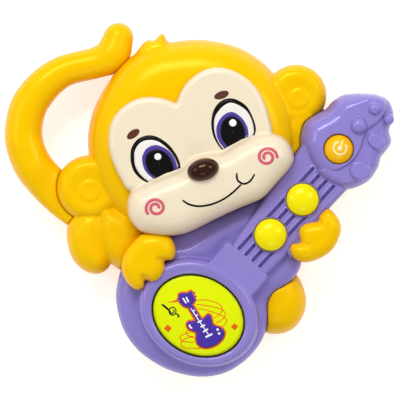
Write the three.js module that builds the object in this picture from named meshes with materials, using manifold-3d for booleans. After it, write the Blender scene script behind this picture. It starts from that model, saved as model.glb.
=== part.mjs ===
// Musical monkey toy that holds a guitar, a battery toy in moulded plastic, lying on its back.
// Millimetres. +Z points out of the face, +Y to the top of the head, +X to the guitar's headstock.
// The origin is on the flat back, under the middle of the toy's outline.
import * as THREE from 'three';
import { mergeVertices } from 'three/addons/utils/BufferGeometryUtils.js';
import Module from 'manifold-3d';

const wasm = await Module();
wasm.setup();

// ---------------------------------------------------------------- driving dimensions
const WALL = 2.2; // thickness of the moulded walls
const GAP = 0.3; // clearance between pieces that meet
const SEAM = 18; // height of the seam between rear and front shells
const BACK_ROUND = 7; // radius of the back's edge
const HEAD_TOP = 36;
const HEAD_ROUND = 14;
const EAR_TOP = 30;
const LEG_TOP = 31;
const ARM_TOP = 33;
const FOOT_TOP = 28;
const TUFT_TOP = 29;
const BRIDGE_TOP = 28;
const FACE_TOP = 41;
const MUZZLE_TOP = 50;
const FACE_FLOOR = 31.5;
const BODY_TOP = 31; // front of the guitar's body
const RING_TOP = 38.5;
const NECK_TOP = 37;
const BLOCK_TOP = 38;
const HEADSTOCK_TOP = 41;
const HAND_TOP = 41;
const DECK = { low: 21, high: 23.2 }; // plate behind the guitar that ties the yellow lobes together
const BOARD = { low: 26, high: 27.6 }; // circuit boards
const LIP = 0.35; // gap around each button
const PLUNGER_LOW = 32; // lower end of each button's plunger
const REACH = 150; // half the width of the boxes that cut everything at one height

// ---------------------------------------------------------------- outlines, as [x, y] points of smooth loops
const HEAD = [
  [-36.8, 69.3], [-24, 77.2], [-10, 79.5], [1, 80.2], [16, 77.7], [28, 72], [38.5, 62.5], [46, 49.5],
  [50, 34.5], [49.3, 22.5], [42.6, 13.3], [31.5, 5], [17.5, -1.7], [2.5, -7.6], [-12, -12.6],
  [-23.5, -16], [-31, -15.5], [-38.5, -10.5], [-44.5, -4.5], [-51, 6.5], [-55.3, 21], [-55.3, 34],
  [-51.5, 48], [-43.5, 61],
];
const TUFT = [[-30, 74], [-27.3, 78.8], [-23.8, 80.2], [-19.8, 82.7], [-17.5, 82], [-15.6, 78.6], [-14, 73]];
const ARM = [
  [-45.5, -4.5], [-40, -3], [-33, -9], [-27.5, -16], [-28, -26], [-33, -33], [-38.8, -35], [-42.4, -33],
  [-45.8, -27.5], [-47.2, -18], [-46.8, -10],
];
const LEG = { x: -54, y: -20.5, across: 11.8, along: 17, turn: 0.12 };
const FOOT = { x: 40.6, y: -52, across: 13.2, along: 15.3, turn: 0 };
const LEFT_EAR = { x: -54.8, y: 5.8, across: 16.4, along: 16.4, turn: 0 };
const RIGHT_EAR = { x: 48.8, y: 52.3, across: 15.4, along: 15.4, turn: 0 };
const BRIDGE = [[28, 2], [46, -3], [62, 13], [62, 30], [57, 42], [48, 44], [43, 22]]; // ties head to headstock
const LEFT_HAND = [
  [-30.4, -18.9], [-22.8, -17], [-15, -18.8], [-11.4, -24], [-13.2, -29.6], [-16.6, -32.2],
  [-16.6, -36.4], [-21.5, -41], [-26, -41.6], [-30.4, -45], [-35.7, -41.4], [-38.5, -32.5], [-36.8, -25],
];
const RIGHT_HAND = [
  [64, -5], [68.8, -8.6], [70.9, -14.5], [68, -22.2], [60.6, -28.6], [51.8, -31.6], [45.6, -28.5],
  [46.2, -22.8], [50, -19.2], [51, -13.4], [56.5, -10.8],
];
const FACE_LEFT = [
  [-33, 4], [-38.5, 10], [-42, 17], [-44.5, 25], [-44.5, 33], [-43, 39], [-39, 44.6], [-34, 48.4],
  [-28.5, 50.4], [-22, 50.8], [-16, 49.6], [-9, 46], [0, 36], [0, 18], [-14, 9],
];
const FACE_RIGHT = [
  [-12.5, 44], [-9.5, 52.2], [-6, 57.6], [-1.5, 61.8], [3, 64.3], [8, 65.5], [12.5, 65.3], [18, 63.6],
  [24, 60], [29, 55], [32.8, 48], [35.2, 40.5], [36, 31], [20, 22], [0, 20],
];
const MUZZLE = [
  [-33, 4.4], [-22, 10.3], [-10, 15], [-4.5, 19.5], [3.5, 22.6], [12, 23.7], [19.5, 28], [26.5, 31.5],
  [35.6, 32.8], [41, 31.6], [45.6, 27], [47.5, 21], [46, 16.6], [39, 8.4], [32.6, 1.4], [22, -3.6],
  [8, -10], [-4, -15.6], [-11, -17.4], [-22, -17], [-29, -15.6], [-34, -10], [-35.4, -3.5],
];
const GUITAR_BODY = [
  [-37.6, -33], [-40.2, -40], [-41.2, -50], [-38.8, -62], [-34, -71], [-26.5, -78.6], [-15, -85.4],
  [-1, -88.6], [11.5, -87.3], [21, -82.4], [28.5, -75.2], [33, -67.5], [34.8, -59], [35, -52], [38, -47],
  [45, -42], [50, -36], [51.6, -29], [49, -20], [40, -10], [31, -1], [17.5, -5], [2.5, -10.8],
  [-12, -16.2], [-24, -20.5], [-32, -26],
];
const HEADSTOCK = [
  [51, 26], [51.4, 34], [53.5, 39], [58.5, 42.5], [64, 45.6], [67.5, 49.6], [73, 52.6], [81, 53.2],
  [89, 52.6], [94.5, 49.4], [97, 44], [97, 39.5], [95.2, 33.5], [95.9, 28], [92, 23.4], [90, 17.5],
  [85.5, 10], [78, 5.8], [71, 5], [63, 8.8], [56, 15],
];
const NECK = [[11.5, -28.5], [27.9, -42.9], [78, 11], [52, 28]];
const BLOCK = [[14.5, -20.9], [34.9, -37.7], [27, -47.8], [6.3, -30.5]];
const DISC = { x: -0.1, y: -57.7, across: 23.8, along: 19.4, turn: -0.495 };
const RING = { x: 0, y: -56, across: 31, along: 25.9, turn: -0.5 };
const DECK_PLATE = [
  [-33, -26], [-36.5, -38], [-36.5, -52], [-33, -64], [-24, -75.5], [-12, -82], [0, -84.3], [12, -82.6],
  [22, -77], [29, -67.5], [33, -58], [40, -52], [48, -38], [52, -28], [60, -18], [54, -4], [40, 10],
  [17.5, 6], [-12, -4], [-26, -10],
];
const TAIL = [
  [-58, -6, 10.3], [-66, -0.5, 10], [-74.3, 6.8, 9.8], [-82.6, 16.5, 9.7], [-87, 26.8, 9.6],
  [-87.8, 35.4, 9.4], [-85.6, 45.8, 9.3], [-81.3, 53, 9], [-75.3, 59.4, 8.5], [-68, 64.2, 8],
  [-60, 66.6, 7.8], [-51, 68.8, 7.9], [-43.6, 72.6, 8.9], [-40.2, 81.1, 7.6],
]; // centre line and radius of the tail, which is the carrying handle

// ---------------------------------------------------------------- where things are
const NOTES = [
  { name: 'lower', x: 35.7, y: -17.5 },
  { name: 'upper', x: 51.6, y: 0 },
];
const POWER = { x: 69.4, y: 24.9 };
const SPEAKER = { x: -6, y: 40, radius: 20 };
const CELL = { radius: 7.1, low: -61.8, high: -12.8, height: 10.5, columns: [-17.2, -2, 13.2] };
const BOX = { left: -25, right: 21, low: -66, high: -9, roof: 18.6, wall: 1.8 }; // inside of the battery box
const DOOR = { thick: 2.2, tab: 2.2, tabHeight: 3 };
const DOOR_SCREW = { x: -2, y: -70.4 };
const TAIL_SCREWS = [{ at: [-86.8, 33], bossTop: 25 }, { at: [-52, 68.5], bossTop: 23 }];
const SHELL_SCREWS = [
  { at: [8, 69], bossTop: 34.5 }, { at: [-56, 7], bossTop: 28.3 }, { at: [-54, -21], bossTop: 29 },
  { at: [41, -53], bossTop: 26.4 }, { at: [-2, -79.6], bossTop: 22 },
];
const HEADSTOCK_SCREWS = [{ at: [84, 19], bossTop: 39.5 }, { at: [77, 45.5], bossTop: 39.5 }];
const HOUSING_SCREWS = [...SHELL_SCREWS, ...HEADSTOCK_SCREWS].map(({ at }) => at);
const SEAT = 7.1; // height of the housing screws' heads
const TAIL_SEAT = 12.1; // the same in the tail
const FACE_SCREWS = [[-37, 24], [24, 50], [28, 13]];
const GUITAR_SCREWS = [[-31.5, -42], [28.5, -44]];
const BOARD_SCREWS = [[-24, 32], [14, 32]];

// ---------------------------------------------------------------- shapes
function solidOf(geometry) {
  geometry.deleteAttribute('normal');
  geometry.deleteAttribute('uv');
  const merged = mergeVertices(geometry, 1e-4);
  const mesh = { numProp: 3, vertProperties: merged.attributes.position.array, triVerts: merged.index.array };
  return new wasm.Manifold(new wasm.Mesh(mesh));
}

function join(...solids) {
  return solids.reduce((whole, next) => whole.add(next));
}

function box(x0, x1, y0, y1, z0, z1) {
  const geometry = new THREE.BoxGeometry(x1 - x0, y1 - y0, z1 - z0);
  return solidOf(geometry.translate((x0 + x1) / 2, (y0 + y1) / 2, (z0 + z1) / 2));
}

// All that lies between two heights.
function slab(low, high) {
  return box(-REACH, REACH, -REACH, REACH, low, high);
}

function rod(x, y, z0, z1, radius, sides = 14) {
  const geometry = new THREE.CylinderGeometry(radius, radius, z1 - z0, sides);
  return solidOf(geometry.rotateX(Math.PI / 2).translate(x, y, (z0 + z1) / 2));
}

function turned(x, y, profile, sides = 24) {
  const geometry = new THREE.LatheGeometry(profile.map(([r, z]) => new THREE.Vector2(r, z)), sides);
  return solidOf(geometry.rotateX(Math.PI / 2).translate(x, y, 0));
}

// A loop through the points, closed and smooth, or an ellipse.
function loop(outline, count) {
  if (!Array.isArray(outline)) {
    const { x, y, across, along, turn } = outline;
    return new THREE.EllipseCurve(x, y, across, along, 0, 2 * Math.PI, false, turn).getPoints(count).slice(1);
  }
  const points = outline.map(([x, y]) => new THREE.Vector3(x, y, 0));
  const curve = new THREE.CatmullRomCurve3(points, true, 'centripetal');
  return curve.getSpacedPoints(count).slice(1).map((p) => new THREE.Vector2(p.x, p.y));
}

// A polygon with its corners rounded off by a few points.
function roundedPolygon(corners, radius) {
  const points = [];
  corners.forEach((corner, i) => {
    const here = new THREE.Vector2(...corner);
    const before = new THREE.Vector2(...corners[(i + corners.length - 1) % corners.length]);
    const after = new THREE.Vector2(...corners[(i + 1) % corners.length]);
    const start = here.clone().add(before.sub(here).setLength(radius));
    const end = here.clone().add(after.sub(here).setLength(radius));
    points.push(...new THREE.QuadraticBezierCurve(start, here, end).getPoints(3));
  });
  return points;
}

// A pillow: an outline raised from low to high, with its upper edge rounded over. An inset pillow is the
// room inside it: its edge is sharper by the inset, and it has fewer facets, as nobody sees it.
function pillow(outline, low, high, edge, inset = 0, count = 30) {
  const inside = inset > 0;
  const points = outline[0] instanceof THREE.Vector2 ? outline : loop(outline, inside ? count * 0.6 : count);
  const round = Math.max(edge - Math.max(inset, 0), 0.5);
  const geometry = new THREE.ExtrudeGeometry(new THREE.Shape(points), {
    depth: high - low - round + 1,
    bevelEnabled: true,
    bevelThickness: round,
    bevelSize: round,
    bevelOffset: -round - inset,
    bevelSegments: inside ? 1 : (edge > 6 ? 3 : 2),
  });
  return solidOf(geometry.translate(0, 0, low - 1)).intersect(slab(low, high + 1));
}

function prism(outline, low, high, inset = 0, count = 30) {
  const points = outline[0] instanceof THREE.Vector2 ? outline : loop(outline, count);
  const edge = 0.2;
  const geometry = new THREE.ExtrudeGeometry(new THREE.Shape(points), {
    depth: high - low + 2 * edge,
    bevelEnabled: true,
    bevelThickness: edge,
    bevelSize: edge,
    bevelOffset: -edge - inset,
    bevelSegments: 1,
  });
  return solidOf(geometry.translate(0, 0, low - edge)).intersect(slab(low, high));
}

// A tube along a path whose radius follows the third number of each point.
function taperedTube(stations, height, thinner, sides, steps) {
  const line = new THREE.CatmullRomCurve3(stations.map(([x, y]) => new THREE.Vector3(x, y, height)));
  const radii = new THREE.CatmullRomCurve3(stations.map(([, , r], i) => new THREE.Vector3(i, r, 0)));
  const section = new THREE.Shape(new THREE.EllipseCurve(0, 0, 1, 1).getPoints(sides).slice(1));
  const geometry = new THREE.ExtrudeGeometry(section, { extrudePath: line, steps, bevelEnabled: false });
  const centres = line.getSpacedPoints(steps);
  const position = geometry.attributes.position;
  const point = new THREE.Vector3();
  for (let i = 0; i < position.count; i += 1) {
    point.fromBufferAttribute(position, i);
    const distances = centres.map((centre) => centre.distanceTo(point));
    const nearest = distances.indexOf(Math.min(...distances));
    const radius = radii.getPoint(line.getUtoTmapping(nearest / steps)).y - thinner;
    point.sub(centres[nearest]).multiplyScalar(radius).add(centres[nearest]);
    position.setXYZ(i, point.x, point.y, point.z);
  }
  return solidOf(geometry);
}

function ball(x, y, z, radii, sides = 20) {
  const geometry = new THREE.SphereGeometry(1, sides, Math.round(sides / 2)).rotateX(Math.PI / 2);
  return solidOf(geometry.scale(...radii).translate(x, y, z));
}

function lead(points, radius = 0.7) {
  const path = new THREE.CatmullRomCurve3(points.map((p) => new THREE.Vector3(...p)));
  const section = new THREE.Shape(new THREE.EllipseCurve(0, 0, radius, radius).getPoints(5).slice(1));
  const steps = Math.round(path.getLength() / 6);
  return solidOf(new THREE.ExtrudeGeometry(section, { extrudePath: path, steps, bevelEnabled: false }));
}

function screw(x, y, headLow, tip, headRadius, shankRadius, headTall = 1.6) {
  const headHigh = headLow + headTall;
  const body = join(
    rod(x, y, headLow, headHigh, headRadius, 8),
    rod(x, y, headHigh - 0.2, tip, shankRadius, 5),
  );
  const arm = headRadius * 0.62;
  const half = headRadius * 0.13;
  return body
    .subtract(box(x - arm, x + arm, y - half, y + half, headLow - 1, headLow + headTall / 2))
    .subtract(box(x - half, x + half, y - arm, y + arm, headLow - 1, headLow + headTall / 2));
}

// ---------------------------------------------------------------- pieces
const toy = new THREE.Group();
toy.name = 'musical_monkey';

function add(name, solid, color, roughness = 0.3, metalness = 0) {
  const mesh = solid.getMesh();
  const geometry = new THREE.BufferGeometry();
  geometry.setAttribute('position', new THREE.BufferAttribute(mesh.vertProperties, 3));
  geometry.setIndex(new THREE.BufferAttribute(mesh.triVerts, 1));
  const piece = new THREE.Mesh(geometry, new THREE.MeshStandardMaterial({ color, roughness, metalness }));
  piece.name = name;
  toy.add(piece);
}

const YELLOW = 0xf8c408;
const CREAM = 0xf9eed8;
const PURPLE = 0x8a7cc6;
const LIME = 0xe4ee10;
const BRIGHT = 0xf9e805;
const ORANGE = 0xfdb515;
const BROWN = 0x321c12;
const STEEL = 0xb8bcc2;
const BOARD_GREEN = 0x2c7a46;
const SILICONE = 0xd9dde0;
const RED = 0xc42222;
const BLACK = 0x202022;
const BLUE = 0x2f6fb5;

// The guitar's outer volume from a floor up. inset below 0 makes the room that its neighbours keep.
const neckLoop = roundedPolygon(NECK, 7);
const blockLoop = roundedPolygon(BLOCK, 6);
function guitarVolume(floor, inset, lower) {
  return join(
    pillow(GUITAR_BODY, floor, BODY_TOP - lower, 5, inset, 34),
    pillow(neckLoop, floor, NECK_TOP - lower, 1.5, inset),
    pillow(blockLoop, floor, BLOCK_TOP - lower, 1.5, inset),
    pillow(RING, floor, RING_TOP - lower, 4, inset, 28),
    pillow(HEADSTOCK, floor, HEADSTOCK_TOP - lower, 6, inset, 28),
  );
}
const guitarRoom = guitarVolume(SEAM, -GAP, -GAP);

// The yellow lobes: outline, height of the top, radius of its edge and points on the outline.
const LOBES = [
  [HEAD, HEAD_TOP, HEAD_ROUND, 30], [LEFT_EAR, EAR_TOP, 6, 20], [RIGHT_EAR, EAR_TOP, 6, 20],
  [LEG, LEG_TOP, 8, 20], [ARM, ARM_TOP, 2.5, 20], [FOOT, FOOT_TOP, 9, 20], [RIGHT_HAND, BODY_TOP, 1, 20],
  [BRIDGE, BRIDGE_TOP, 1.5, 14],
];
function yellowVolume(floor, inset, lower) {
  const pillows = LOBES.map(([outline, top, round, count]) => (
    pillow(outline, floor, top - lower, round, inset, count)
  ));
  return join(...pillows);
}
const upper = (solid, floor) => solid.intersect(slab(floor, REACH));
const beneath = (solid, ceiling) => solid.intersect(slab(-REACH, ceiling));

function tail(thinner) {
  const [x, y, radius] = TAIL[TAIL.length - 1];
  const [sides, steps] = thinner > 0 ? [7, 12] : [12, 20];
  const end = ball(x, y, SEAM, Array(3).fill(radius - thinner), sides);
  return taperedTube(TAIL, SEAM, thinner, sides, steps).add(end);
}
const tailSkin = tail(0);
const tailBore = tail(WALL);
const tailHole = tail(WALL - 0.2 - GAP); // hole in the housing that the tail's spigot enters

function drillAt(places, low, high, radius, sides = 8) {
  return join(...places.map(([x, y]) => rod(x, y, low, high, radius, sides)));
}

// Front shell: the lobes, with a groove in each ear, and the deck.
const frontSeam = SEAM + GAP;
const bossFor = ([x, y], top) => rod(x, y, frontSeam, top, 3.4, 9);
const earRing = (ear) => turned(ear.x, ear.y, [[6, 28.4], [8.3, 28.4], [9, 31], [5.4, 31], [6, 28.4]], 16);
const deckPlate = join(
  prism(DECK_PLATE, DECK.low, DECK.high, 0, 26),
  prism(FOOT, DECK.low, DECK.high, 1, 18),
  prism(RIGHT_HAND, DECK.low, DECK.high, 1, 18),
);
const frontBosses = join(...SHELL_SCREWS.map(({ at, bossTop }) => bossFor(at, bossTop)));
const boxRoom = box(
  BOX.left - 2 - GAP, BOX.right + 2 + GAP, BOX.low - 2 - GAP, BOX.high + 2 + GAP,
  SEAM - 1, BOX.roof + BOX.wall + GAP,
);
const boardPosts = join(...BOARD_SCREWS.map(([x, y]) => rod(x, y, BOARD.high + GAP, HEAD_TOP - 1, 2.8, 8)));
const deckPosts = join(...[0, 1, 2].map((i) => {
  const angle = (i * 2 * Math.PI) / 3 + 0.5;
  const x = DISC.x + 14 * Math.cos(angle);
  const y = DISC.y + 14 * Math.sin(angle);
  return rod(x, y, DECK.high - 0.5, BOARD.low - GAP, 2, 8);
}));
add(
  'front_shell',
  yellowVolume(frontSeam, 0, 0)
    .add(pillow(TUFT, frontSeam, TUFT_TOP, 1.5, 0, 24))
    .subtract(join(yellowVolume(frontSeam - 1, WALL, WALL), tailHole))
    .subtract(earRing(LEFT_EAR))
    .subtract(earRing(RIGHT_EAR))
    .subtract(guitarRoom)
    .subtract(boxRoom)
    .add(deckPlate)
    .add(frontBosses)
    .add(boardPosts)
    .add(deckPosts)
    .subtract(drillAt(SHELL_SCREWS.map(({ at }) => at), frontSeam - 1, 22.6, 1.6, 6))
    .subtract(drillAt(BOARD_SCREWS, BOARD.high, 32.6, 1.3))
    .subtract(drillAt(FACE_SCREWS, 28, 40, 3.3, 10))
    .subtract(drillAt(GUITAR_SCREWS, DECK.low - 1, DECK.high + 1, 1.5)),
  YELLOW,
);

// Guitar shell: purple front piece whose skirt reaches the seam outside the deck.
const deckRoom = join(
  prism(DECK_PLATE, SEAM, DECK.high + GAP, -GAP, 26),
  prism(FOOT, SEAM, DECK.high + GAP, -GAP, 18),
  prism(RIGHT_HAND, SEAM, DECK.high + GAP, -GAP, 18),
);
const headRoom = pillow(HEAD, frontSeam - 1, HEAD_TOP + GAP, HEAD_ROUND, -GAP, 30);
const guitarPosts = join(
  ...GUITAR_SCREWS.map(([x, y], i) => rod(x, y, DECK.high + GAP, [29.5, 36.5][i], 2.8, 12)),
  ...HEADSTOCK_SCREWS.map(({ at, bossTop }) => rod(...at, frontSeam, bossTop, 3.2, 12)),
);
const grooveAlong = new THREE.Vector2(0.678, 0.735);
const grooves = join(...[0, 1, 2, 3].map((i) => {
  const start = new THREE.Vector2(20.2 + 3.4 * i, -24.4 - 2.9 * i);
  const centre = start.clone().addScaledVector(grooveAlong, 27);
  const geometry = new THREE.BoxGeometry(54, 0.9, 1.2).rotateZ(grooveAlong.angle());
  return solidOf(geometry.translate(centre.x, centre.y, NECK_TOP));
}));
const discHole = prism({ ...DISC, across: DISC.across + LIP, along: DISC.along + LIP }, 25, 45, 0, 28);
add(
  'guitar_shell',
  guitarVolume(frontSeam, 0, 0)
    .subtract(guitarVolume(frontSeam - 1, WALL, WALL))
    .subtract(prism({ ...DISC, across: DISC.across + 2, along: DISC.along + 2 }, 25, RING_TOP - WALL, 0, 28))
    .subtract(deckRoom)
    .subtract(headRoom)
    .add(guitarPosts)
    .subtract(grooves)
    .subtract(discHole)
    .subtract(join(...NOTES.map(({ x, y }) => rod(x, y, 25, 45, 8 + LIP, 20))))
    .subtract(rod(POWER.x, POWER.y, 25, 45, 7.2 + LIP, 20))
    .subtract(drillAt([...GUITAR_SCREWS, ...HEADSTOCK_SCREWS.map(({ at }) => at)], frontSeam - 1, 27.6, 1.5)),
  PURPLE,
);

// Hands: two thick pieces clipped over the guitar.
const armRoom = pillow(ARM, frontSeam, ARM_TOP + GAP, 2.5, -GAP, 30);
const leftHand = pillow(LEFT_HAND, BODY_TOP + GAP, HAND_TOP, 3.5, 0, 30);
const leftHandRoom = pillow(LEFT_HAND, BODY_TOP, HAND_TOP + GAP, 3.5, -GAP, 30);
const legRoom = pillow(LEG, frontSeam, LEG_TOP + GAP, 8, -GAP, 30);
add('left_hand', leftHand.subtract(join(armRoom, headRoom, guitarRoom, legRoom)), YELLOW);
add(
  'right_hand',
  pillow(RIGHT_HAND, BODY_TOP + GAP, HAND_TOP, 3.5, 0, 30).subtract(guitarRoom),
  YELLOW,
);

// Face plate and nose.
function faceVolume(floor, inset, lower) {
  return join(
    pillow(FACE_LEFT, floor, FACE_TOP - lower, 3.5, inset, 26),
    pillow(FACE_RIGHT, floor, FACE_TOP - lower, 3.5, inset, 26),
    pillow(MUZZLE, floor, MUZZLE_TOP - lower, 9, inset, 34),
  );
}
const facePosts = join(...FACE_SCREWS.map(([x, y], i) => rod(x, y, 30.6, [39.8, 39.8, 48.6][i], 2.9, 9)));
add(
  'face_plate',
  faceVolume(FACE_FLOOR, 0, 0)
    .subtract(faceVolume(FACE_FLOOR - 1, WALL, WALL))
    .subtract(headRoom)
    .subtract(guitarRoom)
    .subtract(leftHandRoom)
    .subtract(armRoom)
    .add(facePosts)
    .subtract(drillAt(FACE_SCREWS, 30, 36.6, 1.3)),
  CREAM,
);
const nose = { x: 2.3, y: 14.7, z: 48, radii: [8, 5.5, 6.4], turn: 0.28 };
const noseBall = solidOf(
  new THREE.SphereGeometry(1, 18, 12).rotateX(Math.PI / 2).scale(...nose.radii).rotateZ(nose.turn)
    .translate(nose.x, nose.y, nose.z),
);
add('nose', noseBall.subtract(pillow(MUZZLE, FACE_FLOOR, MUZZLE_TOP + GAP, 9, -GAP, 34)), BROWN, 0.2);

// Rear shell: the whole outline up to the seam, its edge rounded at the back.
const REAR_LOBES = [
  [HEAD, BACK_ROUND, 30], [GUITAR_BODY, BACK_ROUND, 30], [LEFT_EAR, BACK_ROUND, 20],
  [RIGHT_EAR, BACK_ROUND, 20], [LEG, BACK_ROUND, 20], [FOOT, BACK_ROUND, 20], [HEADSTOCK, BACK_ROUND, 20],
  [DECK_PLATE, BACK_ROUND, 20], [RIGHT_HAND, 3.5, 20], [ARM, 2.5, 20], [neckLoop, 1.5, 20], [BRIDGE, 1.5, 14],
];
function rearVolume(inset) {
  const pillows = REAR_LOBES.map(([outline, round, count]) => (
    pillow(outline, -Math.abs(inset), SEAM - inset, round, inset, count)
  ));
  return join(...pillows).rotate([180, 0, 0]).mirror([0, 1, 0]).translate([0, 0, SEAM]);
}
const rearBosses = join(...HOUSING_SCREWS.map(([x, y]) => rod(x, y, 1, SEAM, 4.4, 10)));
const counterbores = join(...HOUSING_SCREWS.map(([x, y]) => rod(x, y, -1, SEAT + 1.9, 3.1, 8)));
const tongue = box(-46, -33, 66.5, 71, 15, SEAM);
const tongueRoom = box(-47, -32, 66.5 - GAP, 71 + GAP, 15 - GAP, SEAM + 1);
const batteryWalls = box(BOX.left - 2, BOX.right + 2, BOX.low - 2, BOX.high + 2, 0, BOX.roof + BOX.wall);
const batteryRoom = box(BOX.left, BOX.right, BOX.low, BOX.high, -1, BOX.roof);
const hingeNotch = box(BOX.left + 6, BOX.right - 6, BOX.high - 1, BOX.high + 4.6, DOOR.thick + GAP, 7);
const hingeHood = box(BOX.left + 4, BOX.right - 4, BOX.high, BOX.high + 6.4, 0, 9);
const doorBoss = rod(DOOR_SCREW.x, DOOR_SCREW.y, 0, 8, 6.4, 16);
const doorLug = (spare, low, high) => join(
  rod(DOOR_SCREW.x, DOOR_SCREW.y, low, high, 4.2 + spare, 16),
  box(DOOR_SCREW.x - 4.2 - spare, DOOR_SCREW.x + 4.2 + spare, DOOR_SCREW.y, BOX.low + 1, low, high),
);
const collar = rod(SPEAKER.x, SPEAKER.y, 1, 7, 23.2, 18).subtract(rod(SPEAKER.x, SPEAKER.y, 0, 8, 21.4, 18));
const grille = join(...[-3, -2, -1, 0, 1, 2, 3].map((i) => {
  const half = Math.sqrt(15 ** 2 - (i * 4) ** 2);
  const middle = SPEAKER.y + i * 4;
  return box(SPEAKER.x - half, SPEAKER.x + half, middle - 0.9, middle + 0.9, -1, WALL + 1);
}));
add(
  'rear_shell',
  beneath(join(rearVolume(0), pillow(TUFT, 10, SEAM + 4, 1.5, 0, 24)), SEAM)
    .subtract(join(beneath(rearVolume(WALL), SEAM + 1), tailHole, tongueRoom))
    .add(rearBosses)
    .add(batteryWalls)
    .add(hingeHood)
    .add(collar)
    .add(doorBoss)
    .subtract(batteryRoom)
    .subtract(hingeNotch)
    .subtract(doorLug(GAP, -1, DOOR.thick + GAP))
    .subtract(counterbores)
    .subtract(drillAt(HOUSING_SCREWS, 5, SEAM + 1, 1.6, 6))
    .subtract(rod(DOOR_SCREW.x, DOOR_SCREW.y, 2, 9, 1.3, 10))
    .subtract(grille),
  YELLOW,
);

// Tail: the carrying handle, in two half tubes cut to the outline that they join. A spigot at its lower end
// and a tongue at its upper end reach into the housing and are held between the shells.
const spigot = tail(WALL - 0.2).subtract(tail(WALL + 1.8)).intersect(box(-74, -63, -30, 30, 0, REACH));
const tailPlaces = TAIL_SCREWS.map(({ at }) => at);
const tailHalf = (keep) => keep(tailSkin.subtract(tailBore));
add(
  'tail_handle_front',
  tailHalf((solid) => upper(solid, frontSeam))
    .subtract(yellowVolume(frontSeam - 1, -GAP, -GAP))
    .add(upper(spigot, frontSeam))
    .add(join(...TAIL_SCREWS.map(({ at, bossTop }) => bossFor(at, bossTop))))
    .subtract(drillAt(tailPlaces, frontSeam - 1, 22.6, 1.6, 6)),
  YELLOW,
);
add(
  'tail_handle_rear',
  tailHalf((solid) => beneath(solid, SEAM))
    .subtract(rearVolume(-GAP))
    .add(beneath(spigot, SEAM))
    .add(tongue)
    .add(join(...tailPlaces.map(([x, y]) => rod(x, y, 9.6, SEAM, 4.4, 10))))
    .subtract(join(...tailPlaces.map(([x, y]) => rod(x, y, -1, TAIL_SEAT + 1.9, 3.1, 8))))
    .subtract(drillAt(tailPlaces, 5, SEAM + 1, 1.6, 6)),
  YELLOW,
);

// Buttons: a cap that shows, a flange that the shell holds in, and a plunger.
function button(x, y, radius, top, flangeTop) {
  const crown = 1.4;
  const flange = radius + 0.9;
  return turned(x, y, [
    [0, PLUNGER_LOW], [3.4, PLUNGER_LOW], [3.4, flangeTop - 1.5], [flange, flangeTop - 1.5],
    [flange, flangeTop], [radius, flangeTop], [radius, top - 2 * crown], [radius - 1.2, top - crown],
    [radius / 2, top - crown / 3], [0, top],
  ], 18);
}
for (const note of NOTES) {
  add(`note_button_${note.name}`, button(note.x, note.y, 8, 41.6, 34.4), BRIGHT, 0.25);
}
add('power_button', button(POWER.x, POWER.y, 7.2, 43.2, 38.4), ORANGE, 0.25);

const MELODY_TOP = 36.4;
const flange = { ...DISC, across: DISC.across + 1, along: DISC.along + 1 };
add(
  'melody_button',
  pillow(DISC, PLUNGER_LOW, MELODY_TOP, 1, 0, 28)
    .add(prism(flange, PLUNGER_LOW, PLUNGER_LOW + 1.4, 0, 28))
    .add(rod(DISC.x, DISC.y, PLUNGER_LOW - 1, PLUNGER_LOW + 1, 4, 16)),
  LIME,
  0.25,
);
const sticker = { ...DISC, across: DISC.across - 1.3, along: DISC.along - 1.3 };
add('melody_sticker', prism(sticker, MELODY_TOP + GAP, MELODY_TOP + 2 * GAP, 0, 28), LIME, 0.35);

// Under the buttons: rubber domes on the boards, and three coil springs under the melody button.
function dome(x, y, top) {
  const low = BOARD.high + GAP;
  return turned(x, y, [[0, low], [5.2, low], [5.2, low + 0.8], [3.2, top], [0, top]], 10);
}
const domeTop = PLUNGER_LOW - GAP;
add('dome_note_lower', dome(NOTES[0].x, NOTES[0].y, domeTop), SILICONE, 0.6);
add('dome_note_upper', dome(NOTES[1].x, NOTES[1].y, domeTop), SILICONE, 0.6);
add('dome_power', dome(POWER.x, POWER.y, domeTop), SILICONE, 0.6);
add('dome_melody', dome(DISC.x, DISC.y, domeTop - 1), SILICONE, 0.6);
for (let i = 0; i < 3; i += 1) {
  const angle = (i * 2 * Math.PI) / 3 + 1.4;
  const x = DISC.x + 13.5 * Math.cos(angle);
  const y = DISC.y + 13.5 * Math.sin(angle);
  const low = BOARD.high + GAP;
  const coil = turned(x, y, [[1.9, low], [2.9, low], [2.9, domeTop], [1.9, domeTop], [1.9, low]], 10);
  add(`melody_spring_${i + 1}`, coil, STEEL, 0.3, 1);
}

// Circuit boards.
const melodyBoard = prism({ ...DISC, across: 18.5, along: 17 }, BOARD.low, BOARD.high, 0, 28);
add('melody_board', melodyBoard, BOARD_GREEN, 0.5);
const neckBoard = new THREE.BoxGeometry(72, 15.5, BOARD.high - BOARD.low).rotateZ(0.885);
add('neck_board', solidOf(neckBoard.translate(53.2, 3.2, (BOARD.low + BOARD.high) / 2)), BOARD_GREEN, 0.5);
const mainBoard = box(-28, 18, 18, 46, BOARD.low, BOARD.high).subtract(drillAt(BOARD_SCREWS, 20, 30, 1.5));
add('main_board', mainBoard, BOARD_GREEN, 0.5);
add('sound_chip', box(-10, 0, 36, 44, BOARD.high + GAP, BOARD.high + 2), BLACK, 0.5);

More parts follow.
